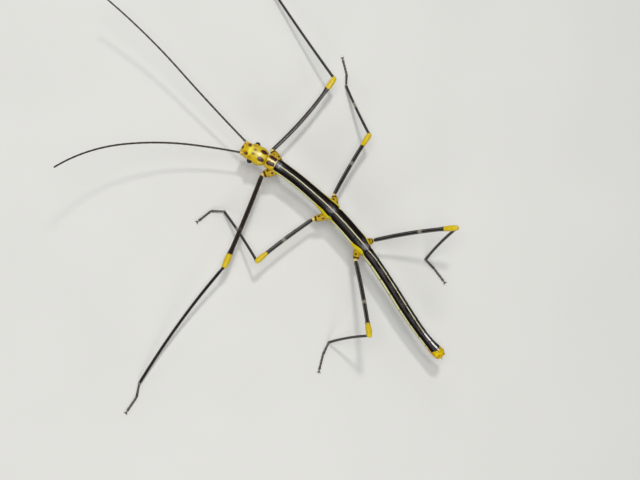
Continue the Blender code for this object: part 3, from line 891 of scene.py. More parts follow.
# %% Relief of the trunk
def trunk_relief(station, turn):
    """How far, in millimetres, the skin stands over its plain section. Turn is in degrees from the top."""
    side = abs(turn)
    back = step_up(side, 100, 80)
    lift = 0.0
    for joint, depth, width in zip(THORAX_JOINTS, (0.16, 0.1, 0.03, 0.06), (0.13, 0.12, 0.08, 0.1)):
        lift -= depth * bump(station, joint, width)
    if station > JOINTS[0]:
        for start, end in zip(JOINTS, JOINTS[1:]):
            if start < station <= end:
                share = (station - start) / (end - start)
                lift += 0.055 * share ** 5 - 0.05 * exp(-(station - start) / 0.16)
        lift -= 0.06 * bump(side, 118, 5)
        lift += 0.03 * bump(side, 108, 6)
    elif station > THORAX_JOINTS[0]:
        # Keels over and under the flank line, then the furrows of the flank and of the belly.
        lift += 0.03 * bump(side, 52, 4) - 0.05 * bump(side, 95, 4)
        lift -= 0.05 * bump(side, 138, 4)
        for place in (25.3, 35.1):
            lift -= 0.07 * bump(station, place + 1.0 - side / 180, 0.14) * step_up(side, 88, 100)
    else:
        # The pronotum: a raised rim, a furrow across and one along, and its edges turned out.
        lift += 0.035 * bump(station, 6.55, 0.12) * back
        lift -= 0.07 * bump(station, 7.45 + 0.15 * cos(radians(turn)), 0.12) * back
        lift -= 0.03 * bump(side, 0, 5) * bump(station, 7.6, 0.8)
        lift += 0.05 * bump(side, 78, 6) - 0.06 * bump(side, 92, 5)
    lift += 0.028 * bump(side, 0, 4) * step_up(station, 9, 11)  # the keel of the back
    lift -= 0.03 * bump(side, 180, 5) * step_up(station, 9, 11)  # the furrow of the belly
    return lift


print("depth of the joint behind the pronotum", round(trunk_relief(THORAX_JOINTS[0], 40), 2), "mm")


# %% Trunk
def add_body_shell(name, rings, sizes, relief, sides, material, squareness=SQUARENESS):
    """A shell along the body's axis, through rings of (station, reach).

    sizes(station) gives its half width, height over the axis and depth under it, and relief(station, turn)
    how far the skin stands over that plain section.
    """
    frames = [spine_frame(station) for station, _ in rings]
    plain = [sizes(station) for station, _ in rings]

    def place(ring, angle, reach):
        station, share = rings[ring]
        centre, _, left, up = frames[ring]
        half, top, bottom = plain[ring]
        across, height = around(angle, squareness)
        turn = turn_of(angle)
        beside, above = half * across, (top if height > 0 else bottom) * height
        grow = 1 + relief(station, turn) / max(hypot(beside, above), 0.1)
        beside, above = beside * grow * share * reach, above * grow * share * reach
        return centre + left * beside + up * above, (station, beside, abs(turn))

    return shape(rod(name, len(rings) - 1, sides), place, material)


def add_trunk():
    """Thorax and abdomen."""
    piece = add_body_shell(
        "skin", trunk_rings(), lambda station: [size * INSIDE for size in smooth_between(OUTLINE, station)],
        trunk_relief, TRUNK_SIDES, TRUNK,
    )
    # The pronotum has its own finish, and so have the few faces at the joint behind it.
    piece.data.materials.append(PRONOTUM)
    marks = piece.data.attributes["marks"].data
    for face in piece.data.polygons:
        if max(marks[number].vector[0] for number in face.vertices) < PRONOTUM_END:
            face.material_index = 1
    return piece


skin = add_trunk()
print("trunk faces", len(skin.data.polygons))

# %% [markdown]
# ## Head
#
# A capsule, longest at the crown and rounded behind, with the sockets of the feelers standing out in front,
# a rim round each eye, a fine seam down the crown and cheeks that swell over the jaws. Again it starts as a
# rod; here the hills are set by how far a point is from the middle of a socket or of an eye.

# %% Outline of the head
# Rows of station, half width, height over the axis and depth under it.
HEAD = (
    (0.1, 0.95, 0.35, 0.45), (0.45, 1.38, 0.75, 0.8), (1.1, 1.7, 1.1, 1.15), (1.9, 1.9, 1.35, 1.4),
    (2.9, 2.06, 1.5, 1.55), (3.9, 2.2, 1.6, 1.6), (4.8, 2.22, 1.6, 1.5), (5.6, 2.04, 1.48, 1.35),
    (6.25, 1.62, 1.25, 1.15),
)
HEAD_SIDES = 72
HEAD_INSIDE = 0.98
# Station, distance beside the axis and height over it.
EYE_PLACE = Vector((3.1, 2.13, 0.3))
SOCKET_PLACE = Vector((1.2, 1.15, 0.68))
print("head", round(HEAD[-1][0] - HEAD[0][0], 2), "mm long")


# %% Relief of the head
def head_relief(station, turn):
    """Hills and furrows of the head capsule."""
    half, top, bottom = smooth_between(HEAD, station)
    angle = radians(abs(turn))
    across, height = abs(sin(angle)), cos(angle)
    here = Vector((station, half * across, (top if height > 0 else bottom) * height))
    side = abs(turn)
    lift = 0.0
    socket = (here - SOCKET_PLACE).length
    lift += 0.16 * bump(socket, 0.42, 0.2) - 0.1 * bump(socket, 0, 0.3)
    eye = (here - EYE_PLACE).length
    lift += 0.05 * bump(eye, 0.72, 0.16) - 0.15 * bump(eye, 0, 0.45)
    lift -= 0.08 * bump(side, 0, 14) * bump(station, 0.9, 0.5)  # between the feelers
    lift += 0.05 * bump(side, 0, 9) * bump(station, 1.9, 0.4)
    lift -= 0.035 * bump(side, 0, 2.5) * step_up(station, 2.6, 3.2)  # seam of the crown
    seam = bump(side, 34 + 6 * (station - 3), 4)  # each side of the crown, wider apart towards the neck
    lift -= 0.04 * seam * step_up(station, 3.2, 4) * step_up(station, 6.1, 5.4)
    lift -= 0.06 * bump(side, 104, 4) * step_up(station, 3.5, 4.2)  # under the cheek
    lift += 0.05 * bump(side, 88, 12) * bump(station, 4.8, 1.0)
    lift -= 0.05 * bump(station, 6.0, 0.1)  # rim of the neck
    return lift


print("depth of the crown's seam", round(head_relief(4, 0), 3), "mm")


# %% Head
def add_head():
    """The head capsule."""
    front = [(0.14, 0.3), (0.11, 0.6), (0.12, 0.8), (0.16, 0.92), (0.22, 0.98)]
    step = 0.085
    middle = [(0.3 + step * number, 1) for number in range(int(5.75 / step))]
    rear = [(6.1, 0.99), (6.19, 0.95), (6.24, 0.88), (6.26, 0.78), (6.24, 0.66)]
    return add_body_shell(
        "head_skin", front + middle + rear,
        lambda station: [size * HEAD_INSIDE for size in smooth_between(HEAD, station)],
        head_relief, HEAD_SIDES, HEAD_SKIN,
    )


head = add_head()
print("head faces", len(head.data.polygons))


# %% [markdown]
# Between head and pronotum the skin is a soft ringed membrane, folded like a bellows so that the head can
# turn. It is a short tube whose radius is a sine wave, with both ends hidden in the hard parts.

# %% Neck
NECK_RINGS, NECK_STEP, FOLD = 33, 0.03, 0.16


def add_neck():
    """The ringed membrane between the head and the pronotum."""
    last = NECK_RINGS - 1
    rings = [(5.85 + number * NECK_STEP, 1 if 0 < number < last else 0.7) for number in range(NECK_RINGS)]
    return add_body_shell(
        "neck_skin", rings, lambda station: (1.22, 1.0, 0.95),
        lambda station, turn: 0.03 * sin(station * 2 * pi / FOLD), 32, MEMBRANE,
    )


neck = add_neck()
print("neck faces", len(neck.data.polygons))

# %% [markdown]
# ## Limbs
#
# Every joint of a limb is a tube along a gently bent line, with round ends that turn inside the next
# joint. One function makes them all. What differs is the line, how thick the tube is along it, and how far
# its section is from round: thighs are keeled, feelers are not.

# %% Frames of a limb
DOME = (80, 58, 38, 18)  # angles of the rings of a round end, in degrees


def limb_frames(path, distances, axis, first, last):
    """Frames (distance, reach, point, across, up) along a limb with a dome of a given radius at each end."""
    rows = [(distances[0] - first * sin(radians(angle)), cos(radians(angle))) for angle in DOME]
    rows += [(distance, 1) for distance in distances]
    rows += [(distances[-1] + last * sin(radians(angle)), cos(radians(angle))) for angle in DOME[::-1]]
    frames = []
    for distance, reach in rows:
        along = (path(distance + 0.05) - path(distance - 0.05)).normalized()
        up = axis.cross(along).normalized()
        frames.append((distance, reach, path(distance), along.cross(up), up))
    return frames


print("rings of a round end", len(DOME))


# %% Limb
def add_limb(name, frames, radius, marks, sides, squareness, material):
    """A limb's shell; radius(distance, turn) is in millimetres, marks(distance, turn) gives its marks."""
    def place(ring, angle, reach):
        distance, share, centre, across_way, up = frames[ring]
        across, height = around(angle, squareness)
        turn = turn_of(angle)
        size = radius(distance, turn) * share * reach
        return centre + across_way * across * size + up * height * size, marks(distance, turn)

    return shape(rod(name, len(frames) - 1, sides), place, material)


# %% Radius and marks of a limb
def by_rows(rows, length=1.0):
    """A radius function from rows of a share of the length and the radius there."""
    return lambda distance, turn: between(rows, distance / length)[0]


def from_both_ends(length, mirror=1):
    """Marks of a limb: distance from its root, turn, and distance left to its end."""
    return lambda distance, turn: (distance, turn * mirror, length - distance)


def from_root(distance, turn):
    """Marks of a small limb: distance from its root and turn."""
    return distance, turn, 0


def all_alike(marks):
    """The same marks for every point."""
    return lambda distance, turn: marks


# %% Line of a limb
def along_line(start, end, bulge=0.0):
    """A path function: a shallow arch that bulges sideways and runs straight on past its ends."""
    length = (end - start).length
    sideways = Vector((0, 0, 1)).cross(end - start).normalized()

    def path(distance):
        share = distance / length
        inside = min(max(share, 0), 1)
        return start.lerp(end, share) + sideways * bulge * 4 * inside * (1 - inside)

    return path, length


def spread(start, end, step):
    """Evenly spaced distances, about a step apart, with both ends."""
    count = max(2, round((end - start) / step))
    return [start + (end - start) * number / count for number in range(count + 1)]


print("one millimetre in steps of about 0.3", [round(distance, 2) for distance in spread(0, 1, 0.3)])

# %% [markdown]
# ## Legs
#
# The hips' places and each leg's headings are the pose of the animal: it walks forward with its front legs
# spread and its hind legs braced. They are the same design values as in the solids, so the skin fits them.
# A rig could bend straight legs into the pose, but it would pinch the knees.

# %% Leg design
SIDES = {"left": 1, "right": -1}
COXA_STATION = {"front": 9.5, "middle": 25.7, "hind": 35.3}
COXA_ROOT = 0.75
COXA_RADIUS = {"front": 1.08, "middle": 0.9, "hind": 0.9}
FEMUR_RADIUS = {"front": 0.45, "middle": 0.41, "hind": 0.42}
TIBIA_RADIUS = {"front": 0.32, "middle": 0.33, "hind": 0.31}
BASITARSUS, FOOT = 3.0, 3.5
ANKLE_HEIGHT, SOLE_HEIGHT = 0.75, 0.27
# Hip: forward, outward and upward of the axis at the coxa. Then heading and rise of the femur and the
# headings of the tibia, of the first segment of the foot and of the rest of it, in degrees.
POSES = {
    "front_left": ((2.1, 3.35, -1.38), (106.5, 0), 92.7, 118, 95),
    "front_right": ((3.3, 2.75, -1.5), (-91.3, 0.4), -21, -28, -42),
    "middle_left": ((2.25, 4.15, -1.35), (76.2, 4.2), -22.8, 36, 78),
    "middle_right": ((2.85, 3.45, -2.0), (-81.9, 5.6), -35.2, -56, -38),
    "hind_left": ((-2.0, 3.05, -1.52), (132.7, 26.6), 40, 103, 114),
    "hind_right": ((-0.8, 3.25, -1.73), (-136.9, 30.2), 90, 174, 165),
}
# How far the thigh and the shin bow sideways.
BOWS = {
    "front_left": (0.15, -0.7), "front_right": (-0.7, 0.2), "middle_left": (-0.2, -0.2),
    "middle_right": (0.2, 0.15), "hind_left": (0.2, -0.3), "hind_right": (0.4, -0.3),
}
print("legs", len(POSES))


# %% Joints of a leg
def compass(heading, rise=0):
    """The unit vector of a heading, clockwise from straight ahead, and a rise over the floor."""
    flat = cos(radians(rise))
    return Vector((sin(radians(heading)) * flat, -cos(radians(heading)) * flat, sin(radians(rise))))


def leg_joints(leg):
    """Places of the joints of a leg, from the coxa's root to the tip of the foot."""
    pair, side = leg.split("_")
    hip_place, (femur_heading, femur_rise), tibia_heading, base_heading, foot_heading = POSES[leg]
    forward, outward, rise = hip_place
    sign = SIDES[side]
    centre, back, left, up = spine_frame(COXA_STATION[pair])
    root = centre + left * COXA_ROOT * sign - up * COXA_ROOT
    hip = centre - back * forward + left * outward * sign + Vector((0, 0, rise))
    knee = hip + compass(femur_heading, femur_rise) * FEMUR[pair]
    drop = degrees(asin((knee.z - ANKLE_HEIGHT) / TIBIA[pair]))
    ankle = knee + compass(tibia_heading, -drop) * TIBIA[pair]
    fall = degrees(asin((ANKLE_HEIGHT - SOLE_HEIGHT) / BASITARSUS))
    ball = ankle + compass(base_heading, -fall) * BASITARSUS
    toe = ball + compass(foot_heading) * FOOT
    return root, hip, knee, ankle, ball, toe


print("toe of the left front leg", [round(value, 1) for value in leg_joints("front_left")[-1]])

# %% [markdown]
# Each leg leaves the thorax by a stout hip that points down and out, and ends in a small ring, the
# trochanter, which is fused to the thigh. The furrow before the ring and the ridges along the cone are
# small hills in its radius, which is quicker than cutting them in and bends with the cone.

# %% Hips
def add_coxa(leg, root, hip):
    """Coxa and trochanter: a stout cone with a ring at its end."""
    pair, side = leg.split("_")
    mirror = SIDES[side]  # the spots of both sides are each other's mirror image
    size = COXA_RADIUS[pair] * 0.98
    path, length = along_line(root, hip)
    rows = ((0, size), (0.45, size * 0.98), (0.7, size * 0.9), (0.86, size * 0.71), (0.93, 0.555), (1, 0.455))

    def radius(distance, turn):
        share = distance / length
        lift = -0.06 * bump(distance, length - 0.75, 0.07) + 0.03 * bump(distance, length - 0.95, 0.1)
        lift += 0.035 * bump(abs(turn), 60, 9) * step_up(share, 0.9, 0.5) - 0.03 * bump(abs(turn), 120, 9)
        return between(rows, share)[0] + lift

    hinge = (hip - root).cross(Vector((0, 0, 1))).normalized()
    frames = limb_frames(path, spread(0, length, 0.1), hinge, size, 0.45)
    add_limb("coxa_skin_" + leg, frames, radius, from_both_ends(length, mirror), 32, 0.95, HIP)


# %% [markdown]
# The thigh is a long rod with four sharp keels, a little thicker in the middle, and it swells to a knee. The
# section is a rounded square, and a row of sizes along the thigh says how thick it is, so one function fits
# all six. Below the knee is a furrow into which the folded shin would go.

# %% Thighs
def off_keel(turn):
    """Degrees from the nearest of the four keels."""
    return abs((turn % 90) - 45)


def add_femur(leg, hip, knee, ankle):
    """A keeled thigh with a swollen knee, which is furrowed below, where the shin folds in."""
    size = FEMUR_RADIUS[leg.split("_")[0]]
    path, length = along_line(hip, knee, BOWS[leg][0])
    rows = (
        (0, 0.8), (0.03, 0.93), (0.1, 0.96), (0.3, 0.99), (0.55, 1.0), (0.8, 0.97), (0.85, 1.18), (0.9, 1.42),
        (0.96, 1.46), (1, 1.24),
    )

    def radius(distance, turn):
        left = length - distance
        away = off_keel(turn)
        keel = step_up(left, 0.8, 2.8) * step_up(distance, 0.3, 1.2)
        lift = (0.03 * bump(away, 0, 8) - 0.025 * bump(away, 45, 22)) * keel
        lift -= 0.1 * bump(abs(turn), 0, 22) * step_up(left, 1.3, 0.5)
        lift -= 0.03 * bump(left, 1.25, 0.12)
        return size * smooth_between(rows, distance / length)[0] + lift

    hinge = (knee - hip).cross(ankle - knee).normalized()
    distances = spread(0, length - 3, 0.45) + spread(length - 3, length, 0.14)[1:]
    frames = limb_frames(path, distances, hinge, size * 0.9, size * 1.0)
    add_limb("femur_skin_" + leg, frames, radius, from_both_ends(length), 24, 0.74, THIGH)


# %% [markdown]
# The shin is the same kind of rod, thinner, with a narrow neck where it enters the knee.

# %% Shins
def add_tibia(leg, hip, knee, ankle):
    """A thin shin with four fine keels, narrow at the knee and a little wider at the ankle."""
    size = TIBIA_RADIUS[leg.split("_")[0]]
    path, length = along_line(knee, ankle, BOWS[leg][1])
    neck, end = 0.9 / length, 1 - 0.7 / length
    rows = (
        (0, 1.2), (neck * 0.4, 1.15), (neck, 0.96), (neck * 2.5, 0.98), (0.5, 0.92), (end, 0.93), (1, 1.02),
    )

    def radius(distance, turn):
        away = off_keel(turn)
        keel = step_up(distance, 0.8, 2) * step_up(length - distance, 0.3, 1)
        lift = (0.022 * bump(away, 0, 9) - 0.015 * bump(away, 45, 22)) * keel
        return size * smooth_between(rows, distance / length)[0] + lift

    hinge = (knee - hip).cross(ankle - knee).normalized()
    distances = spread(0, 2, 0.2) + spread(2, length - 1, 0.5)[1:] + spread(length - 1, length, 0.16)[1:]
    frames = limb_frames(path, distances, hinge, size * 0.9, size * 0.9)
    add_limb("tibia_skin_" + leg, frames, radius, from_both_ends(length), 16, 0.82, SHIN)


# %% [markdown]
# A foot has five segments. The first is long and comes down from the ankle, the other four lie on the floor
# and each widens to a soft pad; between the claws is one more. The segments are swellings of one tube,
# because the membrane between them is too narrow to see.

# %% Feet
FOOT_JOINTS = (0, 3.0, 3.82, 4.58, 5.34, 6.5)  # ends of the five segments, along the foot


def add_tarsus(leg, ankle, ball, toe):
    """A foot of five segments, each widening to a soft pad at its end."""
    length = BASITARSUS + FOOT

    def corner(distance):
        if distance < BASITARSUS:
            return ankle.lerp(ball, distance / BASITARSUS)
        return ball.lerp(toe, (distance - BASITARSUS) / FOOT)

    def path(distance):
        return (corner(distance - 0.16) + corner(distance) * 2 + corner(distance + 0.16)) / 4

    def in_segment(distance):
        """Share of the way along the segment, and the distances to its two ends."""
        for start, end in zip(FOOT_JOINTS, FOOT_JOINTS[1:]):
            if distance <= end:
                return (distance - start) / (end - start), distance - start, end - distance
        return 1, 1, 0

    def radius(distance, turn):
        share, before, after = in_segment(min(max(distance, 0), length))
        size = 0.225 + 0.065 * step_up(share, 0.25, 0.95)
        pinch = 0.09 * exp(-before / 0.06) * (distance > 0.3) + 0.07 * exp(-after / 0.035) * (after < 0.2)
        return size - pinch * (distance < length - 0.2)

    def marks(distance, turn):
        _, before, after = in_segment(min(max(distance, 0), length))
        pale = 0.7 * exp(-before / 0.06) + 0.5 * exp(-after / 0.05) + 0.3 * bump(abs(turn), 180, 40)
        return distance, turn, min(pale, 1)

    axis = Vector((0, 0, 1)).cross(toe - ankle).normalized()
    distances = spread(0, BASITARSUS - 0.2, 0.25)
    for joint in FOOT_JOINTS[1:-1]:
        distances += [joint + away for away in (-0.13, -0.07, -0.02, 0.02, 0.07, 0.14, 0.26, 0.4, 0.52)]
    distances += [5.98, 6.1, 6.22, 6.34, 6.44]
    frames = limb_frames(path, distances, axis, 0.2, 0.16)
    piece = add_limb("foot_skin_" + leg, frames, radius, marks, 18, 1.0, FOOT_SKIN)
    for vertex in piece.data.vertices:
        vertex.co.z = max(vertex.co.z, 0)  # the sole is flat on the floor


# %% Foot pads
def add_pad(leg, ball, toe):
    """The round sticky pad between the claws."""
    forward = (toe - ball).normalized()
    path, length = along_line(toe + forward * 0.1, toe + forward * 0.66 + Vector((0, 0, 0.02)))
    rows = ((0, 0.1), (0.4, 0.13), (0.7, 0.2), (1, 0.2))
    across = Vector((0, 0, 1)).cross(forward).normalized()
    frames = limb_frames(path, spread(0, length, 0.07), across, 0.08, 0.15)

    def radius(distance, turn):
        return between(rows, distance / length)[0] * (0.55 + 0.45 * sin(radians(abs(turn))) ** 2)

    def marks(distance, turn):
        return distance, turn, 0.6

    add_limb("pad_skin_" + leg, frames, radius, marks, 14, 1.0, FOOT_SKIN)


# %% Six legs
for leg in POSES:
    root, hip, knee, ankle, ball, toe = leg_joints(leg)
    add_coxa(leg, root, hip)
    add_femur(leg, hip, knee, ankle)
    add_tibia(leg, hip, knee, ankle)
    add_tarsus(leg, ankle, ball, toe)
    add_pad(leg, ball, toe)
print("shells", len(SHELLS), "faces", sum(len(shell.data.polygons) for shell in SHELLS))

# %% [markdown]
# ## Feelers
#
# A stout flattened scape, a short pedicel, then a whip of about thirty joints, short near the head and longer
# further out. Each joint is a little thicker at its far end. The line is followed step by step from a
# heading and a rise, which is how such a whip bends: a little more at every joint.

# %% Feelers
SCAPE, PEDICEL, FLAGELLUM = 0.95, 0.5, 44.0
# Rows of a share of the length, and the heading and the rise there.
ANTENNAE = {
    "left": ((0, 29.5, 4), (0.25, 35.3, 11.5), (0.6, 51.5, 22), (1, 81.5, 34)),
    "right": ((0, -6.4, 5), (0.5, -8.1, 9), (1, 1.8, 13)),
}
FIRST_JOINT, JOINT_GROWTH, LONGEST_JOINT = 0.55, 1.09, 1.75
print("feeler", SCAPE + PEDICEL + FLAGELLUM, "mm long")


# %% Line of a feeler
def head_place(place, sign=1):
    """A point of the head, on the left for a positive sign, and the directions there."""
    station, outward, upward = place
    centre, back, left, up = spine_frame(station)
    return centre + left * outward * sign + up * upward, back, left, up


def antenna_path(side):
    """A path function along a feeler, from the middle of its socket."""
    length = SCAPE + PEDICEL + FLAGELLUM
    step = 0.5
    points = [head_place(SOCKET_PLACE, SIDES[side])[0]]
    for number in range(round(length / step)):
        heading, rise = between(ANTENNAE[side], (number + 0.5) * step / length)
        points.append(points[-1] + compass(heading, rise) * step)

    def path(distance):
        low = min(max(int(distance / step), 0), len(points) - 2)
        return points[low].lerp(points[low + 1], distance / step - low)

    return path, length


def feeler_joints():
    """Ends of the joints of the whip, as distances from the socket."""
    ends, size = [SCAPE + PEDICEL], FIRST_JOINT
    while ends[-1] < SCAPE + PEDICEL + FLAGELLUM - 1.2:
        ends.append(ends[-1] + size)
        size = min(size * JOINT_GROWTH, LONGEST_JOINT)
    return ends[:-1] + [SCAPE + PEDICEL + FLAGELLUM]


WHIP = feeler_joints()
print("joints of a feeler", len(WHIP) - 1)

# %% [markdown]
# The scape is yellow like the head, with a brown ring where the pedicel begins. It could share the head's
# finish, but its marks count from the socket and not along the body, so it has one of its own.

# %% Scape finish
def scape_finish():
    """Yolk yellow that turns brown at its far end."""
    material, tree = new_finish("lacquered_scape_chitin")
    along, _, _ = read_marks(tree, 0.1, 0.3, 1)
    colour = over(tree, "#D9AF16", "#B9820F", clouds(tree, 0.4, detail=3))
    colour = over(tree, colour, "#1E1710", past(tree, along, 0.92, 0.2))
    lacquer(tree, colour, 0.26)
    return material


SCAPE_SKIN = scape_finish()
print(SCAPE_SKIN.name, len(SCAPE_SKIN.node_tree.nodes), "nodes")


# %% Feeler
def add_antenna(side):
    """Scape and pedicel in one shell, the whip in another."""
    path, length = antenna_path(side)
    up = Vector((0, 0, 1))
    across = (path(0.5) - path(0)).cross(up).normalized()
    # Rows of a distance and the radius there: the scape, a waist at 0.98 and the pedicel.
    rows = (
        (-0.2, 0.24), (0.08, 0.27), (0.2, 0.345), (0.5, 0.365), (0.8, 0.34), (0.92, 0.26), (0.98, 0.235),
        (1.04, 0.26), (1.2, 0.3), (1.36, 0.285), (1.45, 0.24),
    )
    frames = limb_frames(path, spread(-0.2, SCAPE + PEDICEL, 0.045), across, 0.1, 0.1)
    add_limb("scape_skin_" + side, frames, by_rows(rows), from_root, 24, 0.95, SCAPE_SKIN)

    def radius(distance, turn):
        size = 0.255 - 0.06 * (distance / length)
        for start, end in zip(WHIP, WHIP[1:]):
            if distance <= end:
                share = (distance - start) / (end - start)
                swell = size * (0.9 + 0.1 * step_up(share, 0.1, 0.9))
                return swell - 0.05 * exp(-(distance - start) / 0.05)
        return size

    def marks(distance, turn):
        near = min(abs(distance - joint) for joint in WHIP)
        return distance, turn, exp(-near / 0.1)

    distances = []
    for start, end in zip(WHIP, WHIP[1:]):
        distances += [start + 0.015, start + 0.07, start + 0.2] + spread(start + 0.2, end, 0.42)[1:]
    frames = limb_frames(path, distances, up.cross(path(2) - path(1)).normalized(), 0.12, 0.19)
    add_limb("feeler_skin_" + side, frames, radius, marks, 12, 1.0, FEELER)


for side in ANTENNAE:
    add_antenna(side)
print("shells with the feelers", len(SHELLS))

# %% [markdown]
# Each eye is set in a low collar of the head's own skin. It is made like a very short limb that stands
# out from the side of the head and ends inside the eye.

# %% Collars of the eyes
COLLAR_ROOT, COLLAR_END = 1.4, 2.0  # distances beside the axis
COLLAR_MARKS = (EYE_PLACE.x, COLLAR_END, 84)  # where on the head its yellow is taken from


def add_eye_collar(side, sign):
    """The raised rim round an eye."""
    start = head_place((EYE_PLACE.x, COLLAR_ROOT, EYE_PLACE.z), sign)[0]
    end, _, _, up = head_place((EYE_PLACE.x, COLLAR_END, EYE_PLACE.z), sign)
    path, length = along_line(start, end)
    rows = ((0, 0.5), (0.6, 0.68), (0.85, 0.7), (0.95, 0.68), (1, 0.65))
    frames = limb_frames(path, spread(0, length, 0.04), up, 0.05, 0.07)
    name = "collar_skin_" + side
    return add_limb(name, frames, by_rows(rows, length), all_alike(COLLAR_MARKS), 40, 1.0, HEAD_SKIN)


for side, sign in SIDES.items():
    collar = add_eye_collar(side, sign)
print("faces of a collar", len(collar.data.polygons))

# %% [markdown]
# ## Mouth
#
# Under the front of the head hang the upper lip, the two jaws behind it and the jointed palps. They hardly
# show from above, but from the front and the side they make the face. Lip and jaws are one short limb that
# hangs down, with deep furrows between them, because they are closed and only their outlines show.

# %% Mouth finish
def mouth_finish():
    """Yellow-brown chitin, darker at the jaws' edges."""
    material, tree = new_finish("lacquered_mouth_chitin")
    along, _, _ = read_marks(tree)
    colour = over(tree, "#C99A16", "#6E4410", clouds(tree, 0.5, detail=3))
    colour = over(tree, colour, "#2A1408", past(tree, along, 1.15, 0.2))
    lacquer(tree, colour, 0.3)
    return material


MOUTH_SKIN = mouth_finish()
print(MOUTH_SKIN.name, len(MOUTH_SKIN.node_tree.nodes), "nodes")

# %% Lip and jaws
MOUTH_PLACE = (0.95, 0, -0.6)
PALP_PLACE = (1.75, 0.8, -0.75)
LIP_PALP_PLACE = (1.95, 0.35, -1.2)


def add_mouth():
    """Upper lip and jaws, as one shell with the furrows between them."""
    top, back, left, up = head_place(MOUTH_PLACE)
    tip = top - up * 1.32 - back * 0.34
    path, length = along_line(top, tip)
    rows = ((0, 0.86), (0.35, 0.93), (0.7, 0.83), (0.88, 0.64), (1, 0.42))

    def radius(distance, turn):
        share = distance / length
        side = abs(turn)
        lift = -0.07 * bump(side, 52, 6) * step_up(share, 0.25, 0.4)  # lip and jaw
        lift -= 0.05 * bump(share, 0.45, 0.035) * step_up(side, 70, 50)  # the lip's own joint
        lift -= 0.12 * bump(side, 0, 9) * step_up(share, 0.8, 1.0)  # the notch in the lip
        lift -= 0.08 * bump(side, 180, 7) * step_up(share, 0.3, 0.5)
        lift -= 0.05 * bump(side, 128, 6)
        depth = 0.62 if side < 90 else 0.8
        flat = hypot(sin(radians(side)), cos(radians(side)) * depth)
        return between(rows, share)[0] * flat + lift

    frames = limb_frames(path, spread(0, length, 0.055), left, 0.05, 0.16)
    frames = [(distance, reach, point, left, -back) for distance, reach, point, _, _ in frames]
    return add_limb("mouth_skin", frames, radius, from_root, 48, 1.0, MOUTH_SKIN)


mouth = add_mouth()
print("faces of lip and jaws", len(mouth.data.polygons))


# %% Palps
def add_palp(name, places, sizes):
    """A feeler of the mouth through a few places, one joint between each two."""
    ends = [0.0]
    for start, end in zip(places, places[1:]):
        ends.append(ends[-1] + (end - start).length)

    def corner(distance):
        number = max([n for n, end in enumerate(ends[:-1]) if distance >= end], default=0)
        share = (distance - ends[number]) / (ends[number + 1] - ends[number])
        return places[number].lerp(places[number + 1], share)

    def path(distance):
        return (corner(distance - 0.1) + corner(distance) * 2 + corner(distance + 0.1)) / 4

    def radius(distance, turn):
        near = min(abs(distance - end) for end in ends[1:-1])
        return between(list(zip(ends, sizes)), distance)[0] - 0.06 * exp(-near / 0.05)

    _, _, left, _ = head_place(PALP_PLACE)
    frames = limb_frames(path, spread(0, ends[-1], 0.05), left, sizes[0] * 0.8, sizes[-1] * 0.9)
    add_limb(name, frames, radius, from_root, 16, 1.0, MOUTH_SKIN)


def add_palps():
    """The long palps of the lower jaw and the short ones of the lower lip."""
    for side, sign in SIDES.items():
        root, back, left, up = head_place(PALP_PLACE, sign)
        bend = root + left * 0.25 * sign - up * 0.85 - back * 0.2
        tip = bend - back * 1.05 - up * 0.55 - left * 0.12 * sign
        places = [
            root + up * 0.25, root.lerp(bend, 0.55), bend, bend.lerp(tip, 0.36), bend.lerp(tip, 0.68), tip,
        ]
        add_palp("palp_skin_" + side, places, (0.2, 0.22, 0.22, 0.21, 0.23, 0.2))
        root = head_place(LIP_PALP_PLACE, sign)[0]
        bend = root - up * 0.5 + left * 0.12 * sign
        places = [root, bend, bend - back * 0.4 - up * 0.18, bend - back * 0.85 - up * 0.22]
        add_palp("lip_palp_skin_" + side, places, (0.15, 0.15, 0.15, 0.13))


add_palps()
print("shells with the mouth", len(SHELLS))

# %% [markdown]
# ## Tail
#
# A grown female carries a boat-shaped plate under the end of the abdomen, with a keel, in which the egg
# lies. Above it the last segment ends in a small lid between two short stout tails, the cerci. The plate
# follows the body's axis like the trunk; lid and cerci are short limbs.

# %% Egg plate
TAIL_MARKS = (65.5, 0.3, 90)  # in the yellow of the last segment


def add_operculum():
    """The boat-shaped plate."""
    rows = (
        (59.0, 0.5, 0.3, 1.3), (60.0, 0.85, 0.3, 1.5), (61.6, 1.05, 0.3, 1.75), (63.5, 1.12, 0.3, 1.75),
        (65.2, 0.95, 0.3, 1.4), (66.0, 0.6, 0.3, 1.05),
    )
    ends = [(59.02, 0.5), (59.0, 0.85), (59.06, 0.97)]
    middle = [(59.15 + number * 0.16, 1) for number in range(41)]
    rear = [(65.75, 0.98), (65.88, 0.93), (65.95, 0.82), (65.98, 0.6)]

    def relief(station, turn):
        side = abs(turn)
        lift = 0.06 * bump(side, 180, 6) - 0.06 * bump(side, 155, 14)  # the keel
        lift += 0.05 * bump(side, 104, 6)  # the rim
        return lift * step_up(station, 59.4, 60.5)

    def sizes(station):
        return [size * 0.97 for size in between(rows, station)]

    return add_body_shell("operculum_skin", ends + middle + rear, sizes, relief, 40, TRUNK, squareness=1.0)


operculum = add_operculum()
print("faces of the egg plate", len(operculum.data.polygons))


